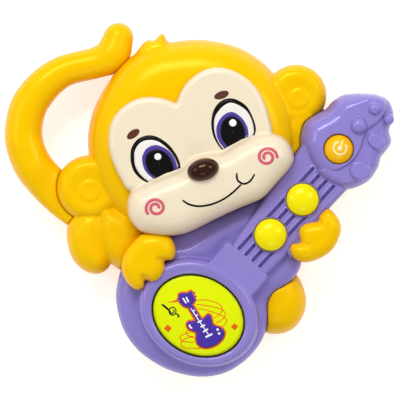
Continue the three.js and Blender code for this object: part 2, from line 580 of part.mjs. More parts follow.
// Speaker, facing the grille.
const { x: speakerX, y: speakerY } = SPEAKER;
add(
  'speaker_frame',
  turned(speakerX, speakerY, [
    [17.6, 2.6], [20.4, 2.6], [20.4, 4.2], [18.6, 4.2], [10.4, 15.2], [6, 15.2], [6, 14.2], [9.6, 14.2],
    [17.6, 4], [17.6, 2.6],
  ], 18),
  STEEL, 0.4, 1,
);
add(
  'speaker_cone',
  turned(speakerX, speakerY, [[0, 11.2], [5.4, 10.4], [16.6, 4], [16.9, 4.5], [5.6, 12.4], [0, 12.4]], 18),
  BLACK, 0.8,
);
add('speaker_magnet', rod(speakerX, speakerY, 15.5, 22.5, 11, 18), STEEL, 0.4, 1);

// Batteries, their springs and their contact plates.
CELL.columns.forEach((x, i) => {
  const positiveUp = i !== 1;
  const end = CELL.high - CELL.low;
  const can = end - 1.4;
  const profile = [[0, 0], [CELL.radius, 0], [CELL.radius, can], [2.7, can], [2.7, end], [0, end]];
  const cell = new THREE.LatheGeometry(profile.map(([r, y]) => new THREE.Vector2(r, y)), 14);
  if (!positiveUp) cell.rotateZ(Math.PI).translate(0, end, 0);
  add(`battery_${i + 1}`, solidOf(cell.translate(x, CELL.low, CELL.height)), BLUE, 0.35, 0.3);
  const ring = new THREE.LatheGeometry(
    [[3.6, 0], [4.4, 0], [3, 2.6], [2.2, 2.6], [3.6, 0]].map(([r, y]) => new THREE.Vector2(r, y)),
    10,
  );
  if (positiveUp) ring.translate(x, CELL.low - 2.9, CELL.height);
  else ring.rotateX(Math.PI).translate(x, CELL.high + 2.9, CELL.height);
  add(`battery_spring_${i + 1}`, solidOf(ring), STEEL, 0.3, 1);
});
const CONTACTS = [
  ['contact_low_bridge', -22.5, 3.2, BOX.low + 0.4],
  ['contact_low_tab', 8.6, 17.8, BOX.low + 0.4],
  ['contact_high_tab', -21.8, -12.6, BOX.high - 0.9],
  ['contact_high_bridge', -6.8, 18.4, BOX.high - 0.9],
];
for (const [name, left, right, low] of CONTACTS) {
  add(name, box(left, right, low, low + 0.5, 8, 15.5), STEEL, 0.3, 1);
}

// Battery door with its two tabs, and its screw.
const doorPlate = box(BOX.left + GAP, BOX.right - GAP, BOX.low + GAP, BOX.high - GAP, 0, DOOR.thick);
const tabs = join(...[-12, 8].map((x) => join(
  box(x - 3, x + 3, BOX.high - 1.8, BOX.high - GAP, DOOR.thick - 0.5, DOOR.tabHeight + 1.4),
  box(x - 3, x + 3, BOX.high - 1.8, BOX.high + DOOR.tab, DOOR.tabHeight, DOOR.tabHeight + 1.4),
)));
const ribs = join(...[-7, -3.5, 0, 3.5, 7].map((dx) => box(dx - 3, dx - 1.6, -28, -20, -1, 0.5)));
add(
  'battery_door',
  join(doorPlate, tabs, doorLug(0, 0, DOOR.thick)).subtract(ribs)
    .subtract(rod(DOOR_SCREW.x, DOOR_SCREW.y, -1, 4, 1.4, 10))
    .subtract(rod(DOOR_SCREW.x, DOOR_SCREW.y, -1, 1.5, 2.9, 12)),
  YELLOW,
);
add('battery_door_screw', screw(DOOR_SCREW.x, DOOR_SCREW.y, 0.1, 7.4, 2.5, 0.9, 1.1), STEEL, 0.3, 1);

// Screws that hold the housing, the face, the guitar and the main board.
const SCREW_TIP = 22.2; // of the screws that go in from the back
const SCREWS = [
  { name: 'tail_screw', places: tailPlaces, seat: TAIL_SEAT, tip: SCREW_TIP, head: 2.7, shank: 1.2 },
  { name: 'housing_screw', places: HOUSING_SCREWS, seat: SEAT, tip: SCREW_TIP, head: 2.7, shank: 1.2 },
  { name: 'face_screw', places: FACE_SCREWS, seat: 28.7, tip: 35.8, head: 2.4, shank: 1 },
  { name: 'guitar_screw', places: GUITAR_SCREWS, seat: DECK.low - 1.9, tip: 27, head: 2.4, shank: 1.2 },
  { name: 'board_screw', places: BOARD_SCREWS, seat: BOARD.low - 1.9, tip: PLUNGER_LOW, head: 2.4, shank: 1 },
];
for (const { name, places, seat, tip, head, shank } of SCREWS) {
  places.forEach(([x, y], i) => {
    add(`${name}_${i + 1}`, screw(x, y, seat, tip, head, shank), STEEL, 0.3, 1);
  });
}

// Leads inside the housing.
add('battery_lead_red', lead([[-24, -6, 13], [-24, 2, 16], [-23, 12, 22], [-20, 20, 25]]), RED);
add('battery_lead_black', lead([[14, -5.6, 13], [13, 5, 14], [11, 13, 21], [10, 20, 25]]), BLACK);
add('speaker_lead_red', lead([[12.5, 40, 10], [15, 37, 15], [13, 28, 21], [6, 24, 25.2]]), RED);
add('speaker_lead_black', lead([[12, 46, 10], [17, 43, 16], [16.5, 30, 22], [10, 26, 25.2]]), BLACK);

export default toy;
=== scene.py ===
"""Looks for the musical monkey toy: moulded shells as smooth surfaces, printed face, and a studio set."""

import math

import bmesh
import bpy
import numpy as np
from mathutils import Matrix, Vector


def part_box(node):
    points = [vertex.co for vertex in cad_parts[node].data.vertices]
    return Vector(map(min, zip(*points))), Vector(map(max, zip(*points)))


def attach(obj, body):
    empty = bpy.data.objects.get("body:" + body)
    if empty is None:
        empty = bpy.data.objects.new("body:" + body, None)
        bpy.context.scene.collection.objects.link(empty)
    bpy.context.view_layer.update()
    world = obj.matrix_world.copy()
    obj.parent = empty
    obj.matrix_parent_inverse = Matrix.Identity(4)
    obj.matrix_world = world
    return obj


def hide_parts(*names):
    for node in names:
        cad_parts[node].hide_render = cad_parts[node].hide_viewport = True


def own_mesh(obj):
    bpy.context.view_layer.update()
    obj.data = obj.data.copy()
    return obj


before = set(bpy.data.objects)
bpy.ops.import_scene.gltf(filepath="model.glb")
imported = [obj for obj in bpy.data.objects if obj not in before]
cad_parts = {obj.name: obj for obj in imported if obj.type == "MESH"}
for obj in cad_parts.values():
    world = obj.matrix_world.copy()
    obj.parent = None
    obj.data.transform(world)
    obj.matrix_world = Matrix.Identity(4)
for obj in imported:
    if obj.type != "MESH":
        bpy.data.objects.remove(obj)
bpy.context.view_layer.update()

MM = 0.001
SEAM = 18.0  # height of the parting line between the rear and front shells
SEAM_GAP = 0.3
WALL = 2.2
GAP = 0.15  # between neighbouring shells

# Heights above the flat back, in mm.
TUFT_TOP = 28.0
EAR_TOP = 29.4
LEG_TOP = 28.6
ARM_TOP = 30.6
FOOT_TOP = 28.0
BRIDGE_TOP = 28.0
HAND_BASE_TOP = 31.0
HAND_FLOOR = 27.6
LEFT_HAND_TOP = 43.4
RIGHT_HAND_TOP = 41.8
LOBE_TOP = 41.0
MUZZLE_TOP = 49.0
FACE_FLOOR = 26.0
BODY_TOP = 31.2
SKIRT_TOP = 35.6
NECK_TOP = 36.2
BLOCK_TOP = 37.4
RING_TOP = 37.4
RING_RISE = 1.3  # of the ring's outer rim above its inner one
HEADSTOCK_STEP_TOP = 39.9
HEADSTOCK_TOP = 41.4
OVAL_TOP = 41.5
PEG_HEIGHT = 40.6  # of the middle of each peg's round end
MELODY_TOP = 37.6
MELODY_FLOOR = 32.0

# The round buttons.
DOME = 3.0  # height of their domed tops
DOME_POWER = 2.3  # the higher, the flatter in the middle
NOTE_RADIUS = 8.0
NOTE_FLANGE_DROP = 7.2
POWER_RADIUS = 7.2
POWER_FLANGE_DROP = 4.8

# The studio, in metres and watts.
VIEW_HEIGHT = 0.024
WORLD = 0.5
FLOOR_GLOW = 0.6
LIGHTS = [
    ("top_softbox", (-0.2, 0.8, 0.95), (0.7, 0.35), 7.6),
    ("right_softbox", (0.8, 0.4, 0.9), (0.4, 0.4), 2.4),
    ("left_softbox", (-0.9, 0.2, 0.8), (0.4, 0.4), 1.6),
    ("low_softbox", (0.1, -0.9, 0.9), (0.5, 0.3), 1.1),
]

# ------------------------------------------------------------------ outlines, in mm

HEAD = [
    (-36.8, 69.3), (-24, 77.2), (-10, 79.5), (1, 80.2), (16, 77.7), (28, 72), (38.5, 62.5), (46, 49.5),
    (50, 34.5), (49.3, 22.5), (42.6, 13.3), (31.5, 5), (17.5, -1.7), (2.5, -7.6), (-12, -12.6),
    (-23.5, -16.4), (-31, -15.5), (-38.5, -10.5), (-44.5, -4.5), (-50, 4), (-53.6, 13.5), (-55.3, 24),
    (-55.3, 34), (-52.3, 46), (-45.5, 58.5),
]
TUFT = [(-30, 72), (-28, 78), (-25, 79.9), (-22.5, 79.6), (-20, 82), (-17.8, 83), (-16, 80), (-15, 72)]
ARM = [
    (-49, -2), (-40, -3), (-31, -7), (-24, -14), (-26, -26), (-33, -33), (-38.8, -35.2), (-42.4, -33.4),
    (-48.5, -28), (-52, -18), (-52, -9),
]
LEG = [
    (-65, -11), (-66, -20), (-63.4, -29.5), (-57.8, -35.4), (-51.6, -37.4), (-47, -36), (-44.2, -32),
    (-43.8, -22), (-44.6, -12), (-48.5, -5), (-58, -4),
]
FOOT = [
    (30, -38), (45, -36), (49.6, -38.4), (52.6, -44), (54, -50.5), (53, -57), (49.4, -63.2),
    (44.6, -66.4), (39, -67.5), (33, -66.3), (28, -60), (27, -46),
]
BRIDGE = [(28, 2), (46, -3), (62, 13), (62, 30), (57, 42), (48, 44), (43, 22)]
GUITAR_BODY = [
    (-37.6, -33), (-40.2, -40), (-41.3, -50), (-38.8, -62), (-34, -71), (-26.5, -78.6), (-15, -85.2),
    (-1, -88.6), (11.5, -87.3), (21, -82.4), (28.5, -75.2), (33, -67.5), (34.8, -59), (35, -52),
    (38, -47), (45, -42), (50, -36), (51.6, -29), (49, -20), (40, -10), (37.5, -2), (33, 3.5),
    (26, -0.5), (17.5, -5), (2.5, -10.8), (-12, -16.2), (-24, -20.5), (-32, -26),
]
HEADSTOCK = [
    (51, 26), (51.4, 34), (53.5, 39), (58.5, 42.5), (64, 45.6), (67.5, 49.6), (72.5, 52.4), (81, 53.1),
    (89, 52.4), (94.5, 49.4), (97, 44), (96.9, 39.5), (95, 34.5), (96, 29), (93.6, 24.4), (90.8, 21),
    (89.4, 16), (85, 9.6), (78, 5.8), (71, 5.2), (63, 8.8), (56, 15),
]
TERRACE = [
    (93, 64), (93, 50), (92.9, 44.5), (91.2, 40.7), (87.7, 37.2), (83.9, 34.5), (82.2, 31.5),
    (80.9, 26.9), (79.3, 23.1), (76.3, 19.3), (72.5, 16.6), (68.6, 14.7), (64.1, 13.6), (56, 12.6),
    (44, 8), (40, 30), (48, 56), (70, 66),
]
LEFT_HAND = [
    (-31, -19.5), (-27.5, -17), (-21, -16.3), (-14.6, -18.2), (-12, -22), (-11.3, -26), (-12.7, -29.6),
    (-15.9, -31.2), (-16.9, -35.4), (-19, -39), (-22.4, -40.9), (-25.7, -40.9), (-27, -43.4),
    (-29.8, -44.8), (-33, -43.6), (-36.5, -39.5), (-38.3, -34), (-37.8, -29), (-35, -24),
]
RIGHT_HAND = [
    (64.4, -4.6), (69.5, -9.6), (70.6, -16), (67.3, -23.8), (61.4, -28.7), (53.5, -31.2), (47.6, -29.3),
    (45.3, -25), (46.7, -21.8), (50, -20), (49.8, -15), (52.4, -12.2), (57.4, -10.8), (60, -8),
]
FACE_LEFT = [
    (-33, 4), (-38.5, 10), (-42, 17), (-44.5, 25), (-44.5, 33), (-43, 39), (-39, 44.6), (-34, 48.4),
    (-28.5, 50.5), (-22, 50.9), (-16, 49.8), (-10, 46.8), (-2, 38), (0, 18), (-14, 6),
]
FACE_RIGHT = [
    (-14, 43), (-10.8, 48.6), (-9.3, 52.6), (-6, 57.8), (-1.5, 61.8), (3, 64.3), (8, 65.5),
    (12.5, 65.3), (18, 63.6), (24, 60), (29, 55), (32.8, 48), (35.2, 40.5), (36, 31), (24, 20), (0, 16),
]
MUZZLE = [
    (-32.8, 4.2), (-26, 8.2), (-18, 11.5), (-10.5, 14.4), (-7, 17), (-4, 20), (0, 21.8), (5.5, 22.9),
    (11.5, 23.6), (15.5, 26), (20.5, 29), (27, 31.7), (35.6, 32.8), (41, 31.4), (45.2, 27.4),
    (47.3, 21.6), (46, 16.6), (39, 8.4), (32.6, 1.4), (27, -1.6), (20, -4.4), (8, -10), (-1.5, -14.8),
    (-8, -17.2), (-15, -18), (-22, -17.6), (-29, -15.6), (-34, -10), (-35.4, -3.5), (-34.8, 1),
]
NECK = [(11.8, -28.2), (28.8, -43.2), (78.9, 10.2), (56.3, 34)]
CREST = [(-20, -29.5), (-12, -28), (-4, -26.5), (4, -22), (12, -16), (20, -11.5), (30, -8)]
BLOCK = [(14.6, -20.4), (35.1, -38), (22, -53.5), (1.5, -35.9)]
DECK_PLATE = [
    (-33, -26), (-36.5, -38), (-36.5, -52), (-33, -64), (-24, -75.5), (-12, -82), (0, -84.3),
    (12, -82.6), (22, -77), (29, -67.5), (33, -58), (40, -52), (48, -38), (52, -28), (60, -18),
    (54, -4), (40, 10), (17.5, 6), (-12, -4), (-26, -10),
]
TAIL = [
    (-58, -6, 10.3), (-66, -0.5, 10), (-74.3, 6.8, 9.8), (-82.6, 16.5, 9.7), (-87, 26.8, 9.6),
    (-87.8, 35.4, 9.4), (-85.6, 45.8, 9.3), (-81.3, 53, 9), (-75.3, 59.4, 8.5), (-68, 64.2, 8),
    (-60, 66.6, 7.8), (-51, 68.8, 7.9), (-43.6, 72.6, 8.9), (-40.2, 81.1, 7.6),
]
DISC = {"x": -0.1, "y": -57.7, "across": 23.8, "along": 19.4, "turn": -0.495}
RING = {"x": 0.0, "y": -56.0, "across": 31.0, "along": 25.9, "turn": -0.5}
LEFT_EAR = (-54.8, 5.8, 16.4)
RIGHT_EAR = (48.8, 52.3, 15.4)
PEGS = ((87.2, 44.9, 3.3), (79.4, 36.5, 4.3), (94.2, 39.6, 2.7))  # x, y, radius
OVALS = ((88.2, 28.8, 4.9, 3.7, -0.7), (80.3, 14.3, 5.4, 4.8, -0.3))  # x, y, across, along, turn
NOSE = {"x": 2.3, "y": 14.7, "z": 48.0, "radii": (8.0, 5.6, 6.2), "turn": 0.28}

# ------------------------------------------------------------------ smooth loops and 2D distance maps


def spline(points, closed=True, per_span=8):
    """A Catmull-Rom curve through the points. Any columns past x and y are carried along."""
    p = np.array(points, float)
    n = len(p)
    spans = n if closed else n - 1
    rows = []
    t = np.linspace(0, 1, per_span, endpoint=False)[:, None]
    for i in range(spans):
        if closed:
            a, b, c, d = p[i - 1], p[i], p[(i + 1) % n], p[(i + 2) % n]
        else:
            a, b, c, d = p[max(i - 1, 0)], p[i], p[i + 1], p[min(i + 2, n - 1)]
        bend = (2 * a - 5 * b + 4 * c - d) * t**2 + (3 * b - a - 3 * c + d) * t**3
        rows.append(0.5 * (2 * b + (c - a) * t + bend))
    if not closed:
        rows.append(p[-1:])
    return np.vstack(rows)


def rounded(corners, radius):
    """A polygon with each corner cut back by radius and rounded."""
    rows = []
    p = np.array(corners, float)
    for i in range(len(p)):
        here, before, after = p[i], p[i - 1], p[(i + 1) % len(p)]
        start = here + (before - here) / np.linalg.norm(before - here) * radius
        end = here + (after - here) / np.linalg.norm(after - here) * radius
        t = np.linspace(0, 1, 7)[:, None]
        rows.append((1 - t) ** 2 * start + 2 * t * (1 - t) * here + t**2 * end)
    return np.vstack(rows)


def segment_distance(x, y, a, b):
    """Distance from points to a segment, and how far along it the nearest point is."""
    ex, ey = b[0] - a[0], b[1] - a[1]
    wx, wy = x - a[0], y - a[1]
    t = np.clip((wx * ex + wy * ey) / max(ex * ex + ey * ey, 1e-12), 0, 1)
    return np.hypot(wx - ex * t, wy - ey * t), t


def polygon_distance(poly, x, y):
    """Signed distance to a closed polygon, below 0 inside."""
    best = np.full(x.shape, 1e9)
    inside = np.zeros(x.shape, bool)
    for a, b in zip(poly, np.roll(poly, -1, 0)):
        best = np.minimum(best, segment_distance(x, y, a, b)[0])
        crosses = (a[1] > y) != (b[1] > y)
        rise = b[1] - a[1] if abs(b[1] - a[1]) > 1e-12 else 1e-12
        inside ^= crosses & (x < (b[0] - a[0]) * (y - a[1]) / rise + a[0])
    return np.where(inside, -best, best)


class Map:
    """A 2D function on a grid, read anywhere by cubic interpolation."""

    STEP = 0.75
    X0, Y0, NX, NY = -106.0, -98.0, 284, 264

    def __init__(self, function):
        gx = self.X0 + self.STEP * np.arange(self.NX)
        gy = self.Y0 + self.STEP * np.arange(self.NY)
        x, y = np.meshgrid(gx, gy, indexing="ij")
        self.values = function(x, y)

    def __call__(self, x, y):
        u = np.clip((x - self.X0) / self.STEP, 1, self.NX - 3)
        v = np.clip((y - self.Y0) / self.STEP, 1, self.NY - 3)
        i, j = np.floor(u).astype(int), np.floor(v).astype(int)
        wx, wy = self.weights(u - i), self.weights(v - j)
        total = 0.0
        for a in range(4):
            row = 0.0
            for b in range(4):
                row = row + wy[b] * self.values[i + a - 1, j + b - 1]
            total = total + wx[a] * row
        return total

    @staticmethod
    def weights(t):
        return (
            (-t + 2 * t**2 - t**3) / 2,
            (2 - 5 * t**2 + 3 * t**3) / 2,
            (t + 4 * t**2 - 3 * t**3) / 2,
            (t**3 - t**2) / 2,
        )


def polygon_map(poly):
    def distance(x, y):
        return polygon_distance(poly, x, y)

    return Map(distance)


def loop_map(points, per_span=5):
    return polygon_map(spline(points, True, per_span))


def ellipse_polygon(shape, more=0.0, count=72):
    angle = np.linspace(0, 2 * math.pi, count, endpoint=False)
    u, v = (shape["across"] + more) * np.cos(angle), (shape["along"] + more) * np.sin(angle)
    c, s = math.cos(shape["turn"]), math.sin(shape["turn"])
    return np.column_stack([shape["x"] + u * c - v * s, shape["y"] + u * s + v * c])


# ------------------------------------------------------------------ 3D fields, below 0 inside


def raised(d, z, top, across, down=None):
    """An outline raised to a height, its edge rounded by an ellipse: across sideways, down in height."""
    down = across if down is None else down
    u, v = (d + across) / across, (z - (top - down)) / down
    outer = np.hypot(np.maximum(u, 0), np.maximum(v, 0)) - 1
    inner = np.minimum(np.maximum(u, v), 0)
    return np.where((u > 0) | (v > 0), outer, inner - 1) * np.minimum(across, down)


def blend(a, b, soft):
    """Union with a fillet."""
    h = np.clip(0.5 + 0.5 * (b - a) / soft, 0, 1)
    return b * (1 - h) + a * h - soft * h * (1 - h)


def union(fields, soft):
    whole = fields[0]
    for field in fields[1:]:
        whole = blend(whole, field, soft)
    return whole


def both(a, b, soft=0.5):
    """What lies in a and in b, its new edges eased."""
    return -blend(-a, -b, soft)


def cut(a, b, soft=0.5):
    """a without b, its new edges eased."""
    return both(a, -b, soft)


def slab(z, low, high):
    return np.maximum(low - z, z - high)


def rod(x, y, z, place, radius, low, high):
    return np.maximum(np.hypot(x - place[0], y - place[1]) - radius, slab(z, low, high))


def block_field(x, y, z, low, high):
    """A box between two corners."""
    sides = [np.abs(v - (a + b) / 2) - (b - a) / 2 for v, a, b in zip((x, y, z), low, high)]
    return np.maximum(np.maximum(sides[0], sides[1]), sides[2])


def hollow(outer, keep, wall=WALL):
    """The walls of a moulded shell. keep is a field of ribs and bosses that stay solid inside it."""
    room = outer + wall
    if keep is not None:
        room = np.maximum(room, -keep)
    return np.maximum(outer, -room)


# ------------------------------------------------------------------ surface of a field as a mesh


def surface(field, low, high, step):
    """Vertices and quads of the field's zero surface: surface nets, then moved onto it."""
    axes = [np.arange(lo - step, hi + 2 * step, step) for lo, hi in zip(low, high)]
    gx, gy, gz = axes[0][:, None, None], axes[1][None, :, None], axes[2][None, None, :]
    value = np.broadcast_to(field(gx + 0 * gy, gy + 0 * gx, gz), [len(a) for a in axes]).astype(float)
    inside = value < 0
    count = np.zeros([n - 1 for n in value.shape], int)
    corners = [(a, b, c) for a in (0, 1) for b in (0, 1) for c in (0, 1)]

    def corner(array, a, b, c):
        nx, ny, nz = array.shape
        return array[a : nx - 1 + a, b : ny - 1 + b, c : nz - 1 + c]

    for k in corners:
        count += corner(inside, *k)
    mixed = (count > 0) & (count < 8)
    cells = np.argwhere(mixed)
    index = np.full(mixed.shape, -1)
    index[mixed] = np.arange(len(cells))
    total = np.zeros((len(cells), 3))
    hits = np.zeros(len(cells))
    for k in corners:
        for axis in range(3):
            if k[axis]:
                continue
            far = list(k)
            far[axis] = 1
            va = value[cells[:, 0] + k[0], cells[:, 1] + k[1], cells[:, 2] + k[2]]
            vb = value[cells[:, 0] + far[0], cells[:, 1] + far[1], cells[:, 2] + far[2]]
            change = (va < 0) != (vb < 0)
            t = np.where(change, va / np.where(change, va - vb, 1), 0)
            place = np.array(k, float)[None, :].repeat(len(cells), 0)
            place[:, axis] = t
            total[change] += place[change]
            hits += change
    points = (cells + total / hits[:, None]) * step + np.array([a[0] for a in axes])
    quads = []
    for axis in range(3):
        u, v = (axis + 1) % 3, (axis + 2) % 3
        size = value.shape
        cut_a = [slice(1, n - 1) for n in size]
        cut_b = list(cut_a)
        cut_a[axis] = slice(0, size[axis] - 1)
        cut_b[axis] = slice(1, size[axis])
        a, b = inside[tuple(cut_a)], inside[tuple(cut_b)]
        for which, flip in ((a & ~b, False), (~a & b, True)):
            at = np.argwhere(which)
            offset = np.array([1, 1, 1])
            offset[axis] = 0
            at = at + offset
            ring = []
            for du, dv in ((-1, -1), (0, -1), (0, 0), (-1, 0)):
                cell = at.copy()
                cell[:, u] += du
                cell[:, v] += dv
                ring.append(index[cell[:, 0], cell[:, 1], cell[:, 2]])
            quad = np.stack(ring, 1)
            quads.append(quad[:, ::-1] if flip else quad)
    quads = np.vstack(quads)
    return settle(points, field, step), quads


def settle(points, field, step):
    """Newton steps along the gradient, each at most a third of the grid step."""
    small = 0.02
    for _ in range(3):
        x, y, z = points.T
        f = field(x, y, z)
        gradient = np.stack(
            [
                field(x + small, y, z) - field(x - small, y, z),
                field(x, y + small, z) - field(x, y - small, z),
                field(x, y, z + small) - field(x, y, z - small),
            ],
            1,
        ) / (2 * small)
        size = np.maximum((gradient**2).sum(1), 0.05)
        move = -(f / size)[:, None] * gradient
        length = np.linalg.norm(move, axis=1)
        move *= np.minimum(1, (step * 0.33) / np.maximum(length, 1e-9))[:, None]
        points = points + move
    return points


def mesh_object(name, points, faces, smooth=True):
    mesh = bpy.data.meshes.new(name)
    points = np.asarray(points, float) * MM
    if isinstance(faces, np.ndarray):
        count, width = faces.shape
        mesh.vertices.add(len(points))
        mesh.vertices.foreach_set("co", points.astype(np.float32).ravel())
        mesh.loops.add(count * width)
        mesh.loops.foreach_set("vertex_index", faces.astype(np.int32).ravel())
        mesh.polygons.add(count)
        mesh.polygons.foreach_set("loop_start", np.arange(0, count * width, width, dtype=np.int32))
        mesh.update(calc_edges=True)
        mesh.validate()
    else:
        mesh.from_pydata([tuple(p) for p in points], [], [tuple(f) for f in faces])
    mesh.polygons.foreach_set("use_smooth", [smooth] * len(mesh.polygons))
    piece = bpy.data.objects.new(name, mesh)
    bpy.context.scene.collection.objects.link(piece)
    return piece


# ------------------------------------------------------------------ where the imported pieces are, in mm


def low_high(node):
    low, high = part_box(node)
    return np.array(low) / MM, np.array(high) / MM


def middle(node):
    low, high = low_high(node)
    return (low + high) / 2


HEAD_TOP = low_high("front_shell")[1][2]
NOTE_PLACES = {name: middle("note_button_" + name) for name in ("lower", "upper")}
POWER_PLACE = middle("power_button")
SPEAKER_PLACE = middle("speaker_cone")
DOOR_LOW, DOOR_HIGH = low_high("battery_door")
BACK_SCREWS = [f"housing_screw_{i}" for i in range(1, 8)]
TAIL_SCREWS = ["tail_screw_1", "tail_screw_2"]

# ------------------------------------------------------------------ distance maps of the outlines

head_map = loop_map(HEAD)
tuft_map = loop_map(TUFT)
arm_map = loop_map(ARM)
leg_map = loop_map(LEG)
foot_map = loop_map(FOOT)
bridge_map = loop_map(BRIDGE)
body_map = loop_map(GUITAR_BODY)
headstock_map = loop_map(HEADSTOCK)
terrace_map = loop_map(TERRACE)
left_hand_map = loop_map(LEFT_HAND)
right_hand_map = loop_map(RIGHT_HAND)
face_left_map = loop_map(FACE_LEFT)
face_right_map = loop_map(FACE_RIGHT)
muzzle_map = loop_map(MUZZLE)
deck_map = loop_map(DECK_PLATE)
neck_map = polygon_map(rounded(NECK, 4))
block_map = polygon_map(rounded(BLOCK, 2.5))
disc_map = polygon_map(ellipse_polygon(DISC))
ring_map = polygon_map(ellipse_polygon(RING))


def nearest_on(line, x, y):
    """Distance to an open line, and its third column where it is nearest."""
    best = np.full(x.shape, 1e9)
    width = np.zeros(x.shape)
    for a, b in zip(line, line[1:]):
        distance, t = segment_distance(x, y, a, b)
        closer = distance < best
        best = np.where(closer, distance, best)
        width = np.where(closer, a[2] + (b[2] - a[2]) * t, width)
    return best, width


def line_maps(line):
    """Maps of the distance to an open line, and of its width where it is nearest."""

    def distance(x, y):
        return nearest_on(line, x, y)[0]

    def width(x, y):
        return nearest_on(line, x, y)[1]

    return Map(distance), Map(width)


tail_distance, tail_radius = line_maps(spline(TAIL, False, 10))
crest_distance, _ = line_maps(spline([(*point, 0) for point in CREST], False, 4))

# ------------------------------------------------------------------ the moulded shapes



def round_dip(x, y, centre, painted_side_colour, wide):
    """Depth of a soft round hollow."""
    r = np.hypot(x - centre[0], y - centre[1])
    return painted_side_colour * np.exp(-((r / wide) ** 2))


def ear_distance(x, y, ear):
    return np.hypot(x - ear[0], y - ear[1]) - ear[2]


def ear_field(x, y, z, ear, inner):
    """An ear with a round rim, dished, and a small raised disc in the dish."""
    rim = raised(ear_distance(x, y, ear), z, EAR_TOP, 7, 8.5)
    place = (ear[0] + inner[0], ear[1] + inner[1])
    disc = 0.9 / (1 + np.exp((np.hypot(x - place[0], y - place[1]) - inner[2]) / 0.4))
    return rim + round_dip(x, y, place, 1.7, 8.5) - disc


def tail_field(x, y, z, flat=1.0):
    """The tail handle's tube, lower by the share flat."""
    return (np.sqrt(tail_distance(x, y) ** 2 + ((z - SEAM) / flat) ** 2) - tail_radius(x, y)) * flat


def lobes_field(x, y, z):
    """The yellow figure in front of the seam, without the tail and the hands."""
    head = raised(head_map(x, y), z, HEAD_TOP, 19, 17.5)
    tuft = raised(tuft_map(x, y), z, TUFT_TOP, 3.2, 6)
    return union(
        [
            blend(head, tuft, 2.0),
            ear_field(x, y, z, LEFT_EAR, (0.6, -1.4, 5.1)),
            ear_field(x, y, z, RIGHT_EAR, (1.2, -2.1, 4.8)),
            raised(leg_map(x, y), z, LEG_TOP, 12.5, 10),
            raised(arm_map(x, y), z, ARM_TOP, 12.5, 12),
            raised(foot_map(x, y), z, FOOT_TOP, 13, 11),
            raised(right_hand_map(x, y), z, HAND_BASE_TOP, 2, 3),
            raised(bridge_map(x, y), z, BRIDGE_TOP, 1.5),
        ],
        0.6,
    )


def headstock_field(x, y, z):
    """Two levels with a wavy step between them, three round pegs and two raised ovals."""
    edge = headstock_map(x, y)
    lower = raised(edge, z, HEADSTOCK_STEP_TOP, 5.5, 9)
    slope = 10.0 - 5.8 * np.clip((x - 70) / 14, 0, 1) ** 1.2
    upper = raised(edge, z, HEADSTOCK_TOP, slope, 14)
    step = terrace_map(x, y)
    whole = blend(both(upper, step, 1.0), both(lower, -step - 1.5, 0.4), 0.35)
    for px, py, r in PEGS:
        peg = np.sqrt((x - px) ** 2 + (y - py) ** 2 + np.maximum(z - PEG_HEIGHT, 0) ** 2) - r
        whole = blend(whole, peg, 0.3)
    for px, py, across, along, turn in OVALS:
        c, s = math.cos(turn), math.sin(turn)
        u, v = (x - px) * c + (y - py) * s, (y - py) * c - (x - px) * s
        edge = (np.hypot(u / across, v / along) - 1) * min(across, along)
        whole = blend(whole, raised(edge, z, OVAL_TOP, 1.2), 0.3)
    return whole


STRINGS_FROM = np.array([20.2, -24.4])
STRINGS_STEP = np.array([3.43, -2.93])
STRINGS_ALONG = np.array([0.678, 0.735])
STRINGS_LONG = 54


def string_grooves(x, y):
    """Depth of the four string grooves, with a low rail beside each."""
    depth = 0.0
    for i in range(4):
        start = STRINGS_FROM + i * STRINGS_STEP
        distance = segment_distance(x, y, start, start + STRINGS_ALONG * STRINGS_LONG)[0]
        groove = 1.25 * np.exp(-((distance / 0.62) ** 4))
        rail = 0.25 * np.exp(-(((distance - 1.2) / 0.45) ** 2))
        depth = depth + groove - rail
    return depth


def guitar_field(x, y, z):
    crest = 2.2 * np.exp(-((crest_distance(x, y) / 4.2) ** 2))
    body = raised(body_map(x, y), z - crest, BODY_TOP, 9, 7.5)
    near_hand = np.maximum(right_hand_map(x, y) - 1.2, x - 61.5) + 0 * z
    skirt = both(raised(neck_map(x, y) - 2.6, z, SKIRT_TOP, 1.5), near_hand, 0.5)
    neck = raised(neck_map(x, y), z, NECK_TOP, 2.6, 4) + string_grooves(x, y)
    block = raised(block_map(x, y), z, BLOCK_TOP, 1.2)
    out = np.clip(disc_map(x, y) / 5.2, 0, 1)
    ring = raised(ring_map(x, y), z - RING_RISE * np.sin(out * math.pi / 2), RING_TOP, 4.2, 5.4)
    return union([blend(body, ring, 1.0), skirt, neck, block, headstock_field(x, y, z)], 0.45)


def guitar_solid(x, y, z):
    """The guitar, without the part that would run on inside the head."""
    return cut(guitar_field(x, y, z), np.maximum(head_map(x, y) + 2.5, z - 37), 0.3)


def face_field(x, y, z):
    """Two flat lobes under a rounded muzzle."""
    left = raised(face_left_map(x, y), z, LOBE_TOP, 3.2, 4)
    right = raised(face_right_map(x, y), z, LOBE_TOP, 3.2, 4)
    muzzle = raised(muzzle_map(x, y), z, MUZZLE_TOP, 11, 11)
    return blend(blend(left, right, 0.6), muzzle, 1.6)


def finger_crease(x, y, a, b):
    """Depth of the soft crease between two fingers."""
    distance = segment_distance(x, y, a, b)[0]
    return 0.9 * np.exp(-((distance / 1.5) ** 2))


def left_hand_field(x, y, z):
    hand = raised(left_hand_map(x, y), z, LEFT_HAND_TOP, 7, 6)
    upper = finger_crease(x, y, (-15, -31.6), (-19.4, -29.6))
    return hand + upper + finger_crease(x, y, (-25.6, -42), (-27.2, -38.4))


def right_hand_field(x, y, z):
    hand = raised(right_hand_map(x, y), z, RIGHT_HAND_TOP, 6.5, 5.4)
    lower = finger_crease(x, y, (48, -20.4), (53.6, -22.8))
    return hand + lower + finger_crease(x, y, (58.4, -9.4), (60.6, -12.2))


